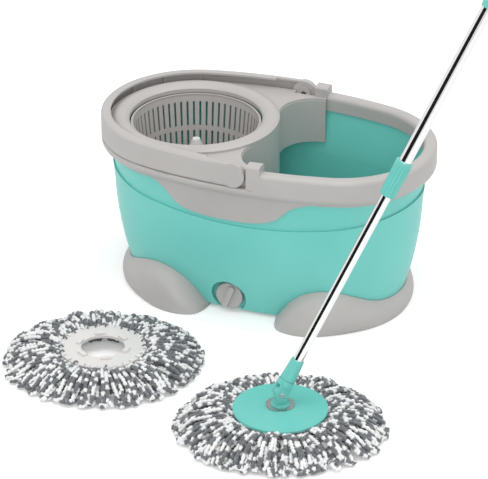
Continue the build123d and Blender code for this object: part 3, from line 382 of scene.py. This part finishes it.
def add_object(name: str, shape: bmesh.types.BMesh, finish: bpy.types.Material) -> bpy.types.Object:
    """Turns a mesh into an object of the scene with its material.

    Args:
        name: Name of the object.
        shape: The mesh, which is freed.
        finish: Material of the object.

    Returns:
        The new object.
    """
    mesh = bpy.data.meshes.new(name)
    shape.to_mesh(mesh)
    shape.free()
    item = bpy.data.objects.new(name, mesh)
    bpy.context.scene.collection.objects.link(item)
    mesh.materials.append(finish)
    return item


def add_piece(name: str, shape: bmesh.types.BMesh, finish: bpy.types.Material) -> bpy.types.Object:
    """Turns a finished mesh into a smooth object with its material.

    Args:
        name: Name of the object.
        shape: The mesh, which is freed.
        finish: Material of the object.

    Returns:
        The new object.
    """
    bmesh.ops.recalc_face_normals(shape, faces=shape.faces)
    for face in shape.faces:
        face.smooth = True
    return add_object(name, shape, finish)


@dataclass(frozen=True)
class LoopForm:
    """Form of the loops that all heads share.

    Attributes:
        bead_swell: Radius of a bead, as a share of the yarn's radius.
        waist_swell: Radius between two beads, as a share of the yarn's radius.
        end_swell: Radius of the yarn's first end, as a share of the yarn's radius.
        tip_softness: Rounds the way out and back at the tip.
        tip_roundness: Rounds the change from one leg of the loop to the other.
        root_spread: Gap of the two legs at the ring, as a share of the loop's width.
        spread_gain: What that gap gains towards the tip.
        wave_mm: Size of the sideways wave.
        wave_along: Angle of the wave along one loop, in radians.
        wave_round: Angle of the wave per radian round the head.
        row_base: Height of the lowest row, in rows.
        row_top: Rows taken off so that the top row reaches the crown.
        rise_rate: How fast a loop rises from the ring to its full height.
        row_shift: Turn of each row against the one below, in loops.
        row_step_mm: How much shorter each row is than the one below.
        probe: Step along the loop that finds its direction.
        floor_gap_mm: Least height of the yarn over the floor.
    """

    bead_swell: float = 1.8
    waist_swell: float = 0.28
    end_swell: float = 0.5
    tip_softness: float = 0.05
    tip_roundness: float = 0.07
    root_spread: float = 0.55
    spread_gain: float = 0.45
    wave_mm: float = 1.6
    wave_along: float = 9
    wave_round: float = 40
    row_base: float = 0.6
    row_top: float = 0.4
    rise_rate: float = 3.2
    row_shift: float = 0.37
    row_step_mm: float = 2.5
    probe: float = 0.01
    floor_gap_mm: float = 0.2


@dataclass(frozen=True)
class Stray:
    """How far loops and beads stray at random from an even layout, and how their tones run.

    Attributes:
        heading: Stray of a loop round the head, in loops.
        tip_mm: Most that a loop falls short of the head's edge.
        level: Stray of a loop's height, in rows.
        lean_mm: Most that a tip swings sideways.
        roll: Turn of a bead about its yarn, in radians.
        thinnest: Least radius of a bead, as a share of its own.
        thickest: Greatest radius of a bead, as a share of its own.
        jog_mm: Stray of a bead along each axis.
        pale_share: Chance that a loop starts pale.
        pale_tone: Tone of pale beads.
        dark_tone: Tone of dark beads.
        tone: Stray of a bead's tone.
        first_runs: Beads at which the tone may first change.
        pale_runs: Lengths that a pale run may have, in beads.
        dark_runs: Lengths that a dark run may have, in beads.
    """

    heading: float = 0.3
    tip_mm: float = 11
    level: float = 0.3
    lean_mm: float = 8
    roll: float = 0.3
    thinnest: float = 0.86
    thickest: float = 1.14
    jog_mm: float = 0.5
    pale_share: float = 0.5
    pale_tone: float = 0.88
    dark_tone: float = 0.12
    tone: float = 0.14
    first_runs: tuple[int, ...] = (1, 2, 3)
    pale_runs: tuple[int, ...] = (1, 1, 2, 2, 4)
    dark_runs: tuple[int, ...] = (1, 2, 2, 3)


@dataclass(frozen=True)
class StrandHead:
    """One round head of beaded yarn loops that spread from a ring to the floor.

    Attributes:
        name: Name of the piece.
        node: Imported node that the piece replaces.
        body: Body that the piece rides on.
        centre: Place of the head's axis in plan.
        seed: Seed of the random draws.
        root_radius: Distance of the loops' roots from the axis.
        root_height: Height of the top row's roots.
        reach_front: Radius of the head's edge towards the camera.
        reach_side: Radius of the head's edge to the camera's left and right.
        reach_back: Radius of the head's edge away from the camera.
        crown: Height that the top row rises to, a little way out from its roots.
        yarn_radius: Radius of the yarn.
        loop_width: Width of a loop.
        beads: Number of beads in a loop.
        sides: Corners of the yarn's section before it is rounded.
        rows: Number of loops in each row, from the lowest up.
        droop: Power of the fall to the floor: a higher one falls nearer the tip.
        tip_rise: Height of each row's tips over those of the row below.
        view_heading: Direction of the camera in plan, in radians.
        form: Form of the loops.
        stray: Random part of the layout.
    """

    name: str
    node: str
    body: Body
    centre: tuple[float, float]
    seed: int
    root_radius: float
    root_height: float
    reach_front: float
    reach_side: float
    reach_back: float
    crown: float
    yarn_radius: float = 3.9 * MM
    loop_width: float = 9.5 * MM
    beads: int = 30
    sides: int = 4
    rows: tuple[int, ...] = (54, 50, 46)
    droop: float = 4.0
    tip_rise: float = 2.2 * MM
    view_heading: float = math.radians(-68.9)
    form: LoopForm = LoopForm()
    stray: Stray = Stray()

    def prototype(self, shape: bmesh.types.BMesh) -> list[list[bmesh.types.BMVert]]:
        """Makes one straight beaded yarn from 0 to 1 along X by extruding a ring bead by bead.

        Args:
            shape: Mesh that gets the yarn.

        Returns:
            The rings of the yarn, each a list of vertices.
        """
        circle = bmesh.ops.create_circle(
            shape, segments=self.sides, radius=self.form.end_swell, cap_ends=True
        )
        ring = circle["verts"]
        upright = Matrix.Rotation(math.pi / 2, 3, "Y")
        bmesh.ops.rotate(shape, verts=ring, cent=(0, 0, 0), matrix=upright)
        edges = list(shape.edges)
        rings = [list(ring)]
        steps = 2 * self.beads
        for step in range(1, steps + 1):
            grown = bmesh.ops.extrude_edge_only(shape, edges=edges)["geom"]
            ring = [g for g in grown if isinstance(g, bmesh.types.BMVert)]
            edges = [g for g in grown if isinstance(g, bmesh.types.BMEdge)]
            edges = [e for e in edges if all(v in ring for v in e.verts)]
            bmesh.ops.translate(shape, verts=ring, vec=(1 / steps, 0, 0))
            swell = self.form.bead_swell if step % 2 else self.form.waist_swell
            girth = sum(math.hypot(v.co.y, v.co.z) for v in ring) / len(ring)
            bmesh.ops.scale(shape, verts=ring, vec=(1, swell / girth, swell / girth))
            rings.append(ring)
        bmesh.ops.contextual_create(shape, geom=edges)
        return rings

    def reach(self, heading: float) -> float:
        """Says how far the head spreads in a direction.

        Args:
            heading: Direction in plan, in radians.

        Returns:
            Radius of the head's edge there.
        """
        along = math.cos(heading - self.view_heading)
        end = self.reach_front if along > 0 else self.reach_back
        return math.hypot(self.reach_side * math.sin(heading - self.view_heading), end * along)

    def loop_point(
        self, share: float, heading: float, tip: float, row: float, lean: float
    ) -> Vector:
        """Gives a point of a loop's centre line, out from the ring, round the tip and back.

        Args:
            share: Way along the loop, 0 to 1.
            heading: Direction of the loop in plan, in radians.
            tip: Distance of the loop's end from the head's axis.
            row: Number of the row, 0 for the lowest, with a small random part.
            lean: Sideways swing of the tip.

        Returns:
            The point in the set's frame.
        """
        form = self.form
        way = 2 * share - 1
        soft = form.tip_softness
        back = (math.hypot(way, soft) - soft) / (math.hypot(1, soft) - soft)
        run = 1 - back
        radius = tip - (tip - self.root_radius) * back
        spread = form.root_spread + form.spread_gain * run
        across = self.loop_width / 2 * spread * way / math.hypot(way, form.tip_roundness)
        wave = math.sin(form.wave_along * share + form.wave_round * heading)
        across += lean * run * run + form.wave_mm * MM * wave
        share_up = (form.row_base + row) / (len(self.rows) - form.row_top)
        lift = (self.crown - self.root_height) * min(1.0, form.rise_rate * run)
        tucked = self.root_height + lift
        sag = 1 - run**self.droop
        height = self.yarn_radius + tucked * share_up * sag + row * self.tip_rise * run
        out = Vector((math.cos(heading), math.sin(heading), 0))
        side = Vector((-out.y, out.x, 0))
        floor_point = Vector((self.centre[0], self.centre[1], 0)) + out * radius + side * across
        return floor_point + Vector((0, 0, max(height, self.yarn_radius)))

    def lay_loop(
        self,
        draw: random.Random,
        row: int,
        heading: float,
        rings: list[list[bmesh.types.BMVert]],
        placed: dict[bmesh.types.BMVert, bmesh.types.BMVert],
        tone: bmesh.types.BMLayerItem,
    ) -> None:
        """Bends one copy of the straight yarn into its loop and tints its beads.

        Args:
            draw: Source of the random values.
            row: Number of the row, 0 for the lowest.
            heading: Direction of the loop in plan, in radians.
            rings: Rings of the straight yarn.
            placed: Vertex of the copy for each vertex of the straight yarn.
            tone: Vertex layer that says how pale a bead is.
        """
        form = self.form
        stray = self.stray
        short = draw.uniform(0, 1) ** 2 * stray.tip_mm * MM
        tip = self.reach(heading) - short - row * form.row_step_mm * MM
        level = row + draw.uniform(-stray.level, stray.level)
        lean = draw.uniform(-1, 1) * stray.lean_mm * MM
        pale = draw.random() < stray.pale_share
        left = draw.choice(stray.first_runs)
        for index, ring in enumerate(rings):
            if index % 2:
                left -= 1
                if left <= 0:
                    pale = not pale
                    left = draw.choice(stray.pale_runs if pale else stray.dark_runs)
            share = index / (len(rings) - 1)
            at = self.loop_point(share, heading, tip, level, lean)
            ahead = self.loop_point(min(1.0, share + form.probe), heading, tip, level, lean)
            behind = self.loop_point(max(0.0, share - form.probe), heading, tip, level, lean)
            turn = (ahead - behind).to_track_quat("X", "Z")
            roll = Matrix.Rotation(draw.uniform(-stray.roll, stray.roll), 3, "X")
            fat = self.yarn_radius * draw.uniform(stray.thinnest, stray.thickest)
            jog = Vector([draw.uniform(-stray.jog_mm, stray.jog_mm) * MM for _ in range(3)])
            base = stray.pale_tone if pale else stray.dark_tone
            shade = base + draw.uniform(-stray.tone, stray.tone)
            for source in ring:
                vert = placed[source]
                arm = roll @ Vector((0, source.co.y, source.co.z)) * fat
                vert.co = at + jog + turn @ arm
                vert.co.z = max(vert.co.z, form.floor_gap_mm * MM)
                vert[tone] = shade

    def build(self, finish: bpy.types.Material) -> bpy.types.Object:
        """Makes the head's loops row on row and dresses them.

        Args:
            finish: Yarn material.

        Returns:
            The finished object.
        """
        draw = random.Random(self.seed)
        shape = bmesh.new()
        tone = shape.verts.layers.float.new(TONE)
        rings = self.prototype(shape)
        model = [v for ring in rings for v in ring]
        geom = [*shape.verts, *shape.edges, *shape.faces]
        for row, count in enumerate(self.rows):
            for place in range(count):
                placed = bmesh.ops.duplicate(shape, geom=geom)["vert_map"]
                shift = draw.uniform(-self.stray.heading, self.stray.heading)
                turned = place + shift + self.form.row_shift * row
                heading = 2 * math.pi * turned / count
                self.lay_loop(draw, row, heading, rings, placed, tone)
        bmesh.ops.delete(shape, geom=model, context="VERTS")
        head = add_piece(self.name, shape, finish)
        smooth = head.modifiers.new("round_yarn", "SUBSURF")
        smooth.levels = smooth.render_levels = 1
        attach(head, self.body.value)
        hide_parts(self.node)
        LOG.info("%s: %d loops", self.name, sum(self.rows))
        return head


@dataclass(frozen=True)
class LacedEdge:
    """Short stitches of yarn that lace the strands to the edge of the spare head's disc.

    Attributes:
        name: Name of the piece.
        body: Body that the piece rides on.
        centre: Place of the disc's axis in plan.
        top: Height of the stitches' ends.
        seat_radius: Distance of the stitches from the axis.
        seed: Seed of the random draws.
        stitches: Number of stitches.
        thread: Radius of the thread.
        arch: Radius of a stitch's arch.
        sides: Corners of the thread's section.
        steps: Steps along the arch.
        stray_heading: Stray of a stitch round the disc, in stitches.
        stray_turn: Stray of a stitch about its own middle, in radians.
        tones: Tones that a stitch may have.
    """

    name: str
    body: Body
    centre: tuple[float, float]
    top: float
    seat_radius: float
    seed: int
    stitches: int = 30
    thread: float = 1.1 * MM
    arch: float = 3.2 * MM
    sides: int = 8
    steps: int = 10
    stray_heading: float = 0.25
    stray_turn: float = 0.5
    tones: tuple[float, ...] = (0.1, 0.8, 0.9)

    def build(self, finish: bpy.types.Material) -> bpy.types.Object:
        """Makes one arched stitch and sets copies of it round the disc.

        Args:
            finish: Yarn material.

        Returns:
            The finished object.
        """
        draw = random.Random(self.seed)
        shape = bmesh.new()
        tone = shape.verts.layers.float.new(TONE)
        bmesh.ops.create_circle(shape, segments=self.sides, radius=self.thread, cap_ends=True)
        bmesh.ops.translate(shape, verts=shape.verts, vec=(self.arch, 0, 0))
        bmesh.ops.spin(
            shape,
            geom=[*shape.verts, *shape.edges, *shape.faces],
            cent=(0, 0, 0),
            axis=(0, -1, 0),
            angle=math.pi,
            steps=self.steps,
        )
        model = list(shape.verts)
        geom = [*shape.verts, *shape.edges, *shape.faces]
        for place in range(self.stitches):
            placed = bmesh.ops.duplicate(shape, geom=geom)["geom"]
            verts = [g for g in placed if isinstance(g, bmesh.types.BMVert)]
            shift = draw.uniform(-self.stray_heading, self.stray_heading)
            heading = 2 * math.pi * (place + shift) / self.stitches
            seat = Matrix.Translation((self.centre[0], self.centre[1], self.top))
            seat @= Matrix.Rotation(heading, 4, "Z")
            seat @= Matrix.Translation((self.seat_radius, 0, 0))
            seat @= Matrix.Rotation(draw.uniform(-self.stray_turn, self.stray_turn), 4, "Z")
            bmesh.ops.transform(shape, matrix=seat, verts=verts)
            shade = draw.choice(self.tones)
            for vert in verts:
                vert[tone] = shade
        bmesh.ops.delete(shape, geom=model, context="VERTS")
        lacing = add_piece(self.name, shape, finish)
        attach(lacing, self.body.value)
        LOG.info("%s: %d stitches", self.name, self.stitches)
        return lacing


@dataclass(frozen=True)
class Lamp:
    """One soft square lamp.

    Attributes:
        name: Name of the lamp.
        at: Place of the lamp in metres.
        size: Side of the square in metres.
        watts: Power.
    """

    name: str
    at: tuple[float, float, float]
    size: float
    watts: float

    def hang(self, aim: tuple[float, float, float]) -> None:
        """Hangs the lamp so that it faces a point.

        Args:
            aim: Point that the lamp faces.
        """
        data = bpy.data.lights.new(self.name, "AREA")
        data.shape = "SQUARE"
        data.size = self.size
        data.energy = self.watts
        lamp = bpy.data.objects.new(self.name, data)
        lamp.location = self.at
        lamp.rotation_euler = (Vector(aim) - Vector(self.at)).to_track_quat("-Z", "Y").to_euler()
        bpy.context.scene.collection.objects.link(lamp)


@dataclass(frozen=True)
class Studio:
    """White floor, soft lamps, a dark card for the tubes and the camera at the photo's angle.

    Attributes:
        camera_at: Place of the camera.
        looks_at: Point that the camera and the lamps face.
        lens_mm: Focal length.
        sensor_mm: Width of the sensor.
        clip_end: Far limit of the camera's view.
        ambient: Strength of the even light.
        floor_size: Side of the floor.
        floor_drop: Gap between the set and the floor.
        floor_colour: Colour of the floor, as sRGB hex.
        floor_roughness: Roughness of the floor.
        glow_near: Glow of the floor near the set.
        glow_far: Glow of the floor far from the set.
        glow_from: Distance at which the glow starts to grow.
        glow_to: Distance at which the glow is in full.
        card_at: Place of the dark card.
        card_size: Width and height of the card.
        card_turn: Turn of the card about the vertical, in radians.
        card_colour: Colour of the card, as sRGB hex.
        lamps: Lamps of the studio.
    """

    camera_at: tuple[float, float, float] = (1.3370, -3.6303, 2.2072)
    looks_at: tuple[float, float, float] = (-0.0981, 0.0891, 0.1200)
    lens_mm: float = 231.23
    sensor_mm: float = 36.0
    clip_end: float = 200.0
    ambient: float = 0.74
    floor_size: float = 60.0
    floor_drop: float = 0.0006
    floor_colour: str = "#f2f2f2"
    floor_roughness: float = 0.9
    glow_near: float = 0.22
    glow_far: float = 0.6
    glow_from: float = 0.6
    glow_to: float = 3.0
    card_at: tuple[float, float, float] = (-1.0, -2.3, 0.95)
    card_size: tuple[float, float] = (3.2, 1.88)
    card_turn: float = math.radians(-29.6)
    card_colour: str = "#1e2020"
    lamps: tuple[Lamp, ...] = (
        Lamp("front_key", (1.15, -3.2, 2.1), 1.6, 36.0),
        Lamp("left_fill", (-2.2, -2.4, 3.2), 2.4, 24.0),
        Lamp("top_soft", (0.15, -0.5, 3.4), 1.6, 27.0),
        Lamp("back_right", (1.5, 1.3, 3.2), 1.6, 24.0),
    )

    def camera(self) -> None:
        """Sets the camera at the fitted place and lens."""
        data = bpy.data.cameras.new("photo_camera")
        data.sensor_fit = "HORIZONTAL"
        data.sensor_width = self.sensor_mm
        data.lens = self.lens_mm
        data.clip_end = self.clip_end
        camera = bpy.data.objects.new("photo_camera", data)
        bpy.context.scene.collection.objects.link(camera)
        camera.location = self.camera_at
        line = Vector(self.looks_at) - Vector(self.camera_at)
        camera.rotation_euler = line.to_track_quat("-Z", "Y").to_euler()
        bpy.context.scene.camera = camera

    def world(self) -> None:
        """Lights the scene evenly and shows plain white to the camera and in reflections."""
        world = bpy.data.worlds.new("studio_white")
        world.use_nodes = True
        tree = world.node_tree
        tree.nodes.clear()
        path = add_node(tree, "ShaderNodeLightPath")
        straight = add_node(
            tree,
            "ShaderNodeMath",
            {"0": path.outputs["Is Camera Ray"], "1": path.outputs["Is Transmission Ray"]},
            operation="MAXIMUM",
        )
        seen = add_node(
            tree,
            "ShaderNodeMath",
            {"0": straight.outputs["Value"], "1": path.outputs["Is Glossy Ray"]},
            operation="MAXIMUM",
        )
        dim = add_node(tree, "ShaderNodeBackground", {"Color": WHITE, "Strength": self.ambient})
        white = add_node(tree, "ShaderNodeBackground", {"Color": WHITE, "Strength": 1.0})
        mix = add_node(
            tree,
            "ShaderNodeMixShader",
            {
                "0": seen.outputs["Value"],
                "1": dim.outputs["Background"],
                "2": white.outputs["Background"],
            },
        )
        add_node(tree, "ShaderNodeOutputWorld", {"Surface": mix.outputs["Shader"]})
        bpy.context.scene.world = world

    @staticmethod
    def sheet(
        name: str, width: float, depth: float, finish: bpy.types.Material
    ) -> bpy.types.Object:
        """Makes one flat rectangle round the origin.

        Args:
            name: Name of the object.
            width: Size along X in metres.
            depth: Size along Y in metres.
            finish: Material of the rectangle.

        Returns:
            The new object.
        """
        shape = bmesh.new()
        # A grid's size is half its side, so this one is a metre wide before it is scaled.
        bmesh.ops.create_grid(shape, x_segments=1, y_segments=1, size=0.5)
        bmesh.ops.scale(shape, verts=shape.verts, vec=(width, depth, 1))
        return add_object(name, shape, finish)

    def floor(self) -> None:
        """Lays a white floor that keeps the set's soft shadow."""
        material, tree, shader = new_material("floor_white")
        shader.inputs["Base Color"].default_value = linear(self.floor_colour)
        shader.inputs["Roughness"].default_value = self.floor_roughness
        shader.inputs["Specular IOR Level"].default_value = 0.0
        path = add_node(tree, "ShaderNodeLightPath")
        place = add_node(tree, "ShaderNodeTexCoord").outputs["Object"]
        distance = add_node(tree, "ShaderNodeVectorMath", {"0": place}, operation="LENGTH")
        # Lamps fall off with distance, so the floor's own glow grows outwards and keeps it white.
        far = add_node(
            tree,
            "ShaderNodeMapRange",
            {
                "Value": distance.outputs["Value"],
                "From Min": self.glow_from,
                "From Max": self.glow_to,
                "To Min": self.glow_near,
                "To Max": self.glow_far,
            },
        )
        strength = add_node(
            tree,
            "ShaderNodeMath",
            {"0": path.outputs["Is Camera Ray"], "1": far.outputs["Result"]},
            operation="MULTIPLY",
        )
        glow = add_node(
            tree, "ShaderNodeEmission", {"Color": WHITE, "Strength": strength.outputs["Value"]}
        )
        both = add_node(
            tree,
            "ShaderNodeAddShader",
            {"0": shader.outputs["BSDF"], "1": glow.outputs["Emission"]},
        )
        output = next(n for n in tree.nodes if n.type == "OUTPUT_MATERIAL")
        tree.links.new(both.outputs["Shader"], output.inputs["Surface"])
        floor = self.sheet("studio_floor", self.floor_size, self.floor_size, material)
        floor.location.z = -self.floor_drop

    def dark_card(self) -> None:
        """Stands a dark card by the camera that shows only as the streak in polished tubes."""
        material, _, shader = new_material("card_charcoal")
        shader.inputs["Base Color"].default_value = BLACK
        shader.inputs["Specular IOR Level"].default_value = 0.0
        shader.inputs["Emission Color"].default_value = linear(self.card_colour)
        shader.inputs["Emission Strength"].default_value = 1.0
        card = self.sheet("dark_card", self.card_size[0], self.card_size[1], material)
        card.location = self.card_at
        card.rotation_euler = (math.pi / 2, 0, self.card_turn)
        card.visible_camera = False
        card.visible_diffuse = False
        card.visible_shadow = False
        card.visible_transmission = False

    def build(self) -> None:
        """Sets up camera, world, floor, dark card and lamps."""
        bpy.context.scene.view_settings.view_transform = "Standard"
        self.camera()
        self.world()
        self.floor()
        self.dark_card()
        for lamp in self.lamps:
            lamp.hang(self.looks_at)
        LOG.info("studio ready")


def dress(
    nodes: dict[str, bpy.types.Object], names: Iterable[str], finish: bpy.types.Material
) -> None:
    """Gives CAD nodes a finish.

    Args:
        nodes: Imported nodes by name.
        names: Nodes that get the finish.
        finish: The material.
    """
    for name in names:
        node = nodes[name]
        node.data.materials.clear()
        node.data.materials.append(finish)
        LOG.info("%s: %s", name, finish.name)


@dataclass
class SpinMopSet:
    """The set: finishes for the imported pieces, the two strand heads and the spare's lacing.

    Attributes:
        nodes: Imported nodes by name.
        pole_axis: Direction of the pole.
    """

    nodes: dict[str, bpy.types.Object]
    pole_axis: tuple[float, float, float] = (0.36877, 0.27789, 0.88701)

    def dress_rigid(self) -> None:
        """Gives every rigid CAD node its finish."""
        teal = MouldedPlastic("teal_polypropylene", "#72cbc2", "#6cc4bb", 0.36)
        # The mop's teal pieces get a darker copy of the tub's teal: painted shade that offsets the
        # extra top light they catch.
        painted_shade_teal = MouldedPlastic("mop_teal_polypropylene", "#68bfb6", "#62b8af", 0.34)
        grey = MouldedPlastic("grey_polypropylene", "#b2afad", "#aaa7a5", 0.42)
        cone = MouldedPlastic("cone_polypropylene", "#ceccca", "#c6c4c2", 0.4)
        white = MouldedPlastic("natural_polypropylene", "#d9d6d4", "#cfccca", 0.32)
        rubber = MouldedPlastic("black_seal_rubber", "#2a2a2a", "#222222", 0.7)
        tube = DrawnTube("polished_stainless_tube", "#ececec", 0.08, self.pole_axis)
        # Turned steel has no draw marks along one axis, so its noise isn't stretched.
        steel = DrawnTube("turned_steel", "#c4c4c6", 0.24, (0, 0, 1), stretch=1.0)
        grey_nodes = (
            "rim_collar",
            "spinner_housing",
            "carry_handle",
            "foot_spinner_end",
            "foot_wash_end",
            "basket_bowl",
            "drain_knob",
        )
        white_nodes = (
            "thrust_washer",
            "basket_bush",
            "pad_ring",
            "guide_bush",
            "rod_plug",
            "clamp_sleeve",
            "refill_ring",
        )
        steel_nodes = (
            "spindle",
            "spindle_nut",
            "handle_pins",
            "plate_washer",
            "hinge_pin",
            "drive_nut",
            "spiral_rod",
        )
        finishes = (
            (teal, ("tub", "spindle_post")),
            (painted_shade_teal, ("head_plate", "knuckle", "yoke_socket", "lock_collar", "grip")),
            (grey, grey_nodes),
            (cone, ("basket_cone",)),
            (white, white_nodes),
            (rubber, ("drain_seal",)),
            (tube, ("lower_tube", "upper_tube")),
            (steel, steel_nodes),
        )
        for finish, names in finishes:
            dress(self.nodes, names, finish.build())

    def strand_heads(self) -> None:
        """Makes the mop's strands, the spare head's strands and the lacing of its disc."""
        yarn = ChenilleYarn("looped_microfibre", "#62666a", "#7d8083", "#e3e3e3").build()
        mop = StrandHead(
            name="mop_strands",
            node="pad_strands",
            body=Body.MOP_HEAD,
            centre=(0.067, -0.202),
            seed=7,
            root_radius=50 * MM,
            root_height=17 * MM,
            reach_front=124 * MM,
            reach_side=148 * MM,
            reach_back=130 * MM,
            crown=29 * MM,
        )
        spare = StrandHead(
            name="spare_strands",
            node="refill_strands",
            body=Body.REFILL,
            centre=(-0.232, -0.116),
            seed=11,
            root_radius=50 * MM,
            root_height=10 * MM,
            reach_front=136 * MM,
            reach_side=144 * MM,
            reach_back=126 * MM,
            crown=22 * MM,
        )
        lacing = LacedEdge(
            name="spare_lacing",
            body=Body.REFILL,
            centre=spare.centre,
            top=24.6 * MM,
            seat_radius=59 * MM,
            seed=5,
        )
        for piece in (mop, spare, lacing):
            piece.build(yarn)

    def build(self) -> None:
        """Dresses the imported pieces, then adds the strands."""
        self.dress_rigid()
        self.strand_heads()


def main() -> None:
    """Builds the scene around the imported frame."""
    logging.basicConfig(level=logging.INFO, format="%(name)s: %(message)s")
    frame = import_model()
    Studio().build()
    SpinMopSet(frame["nodes"]).build()


if __name__ == "__main__":
    main()
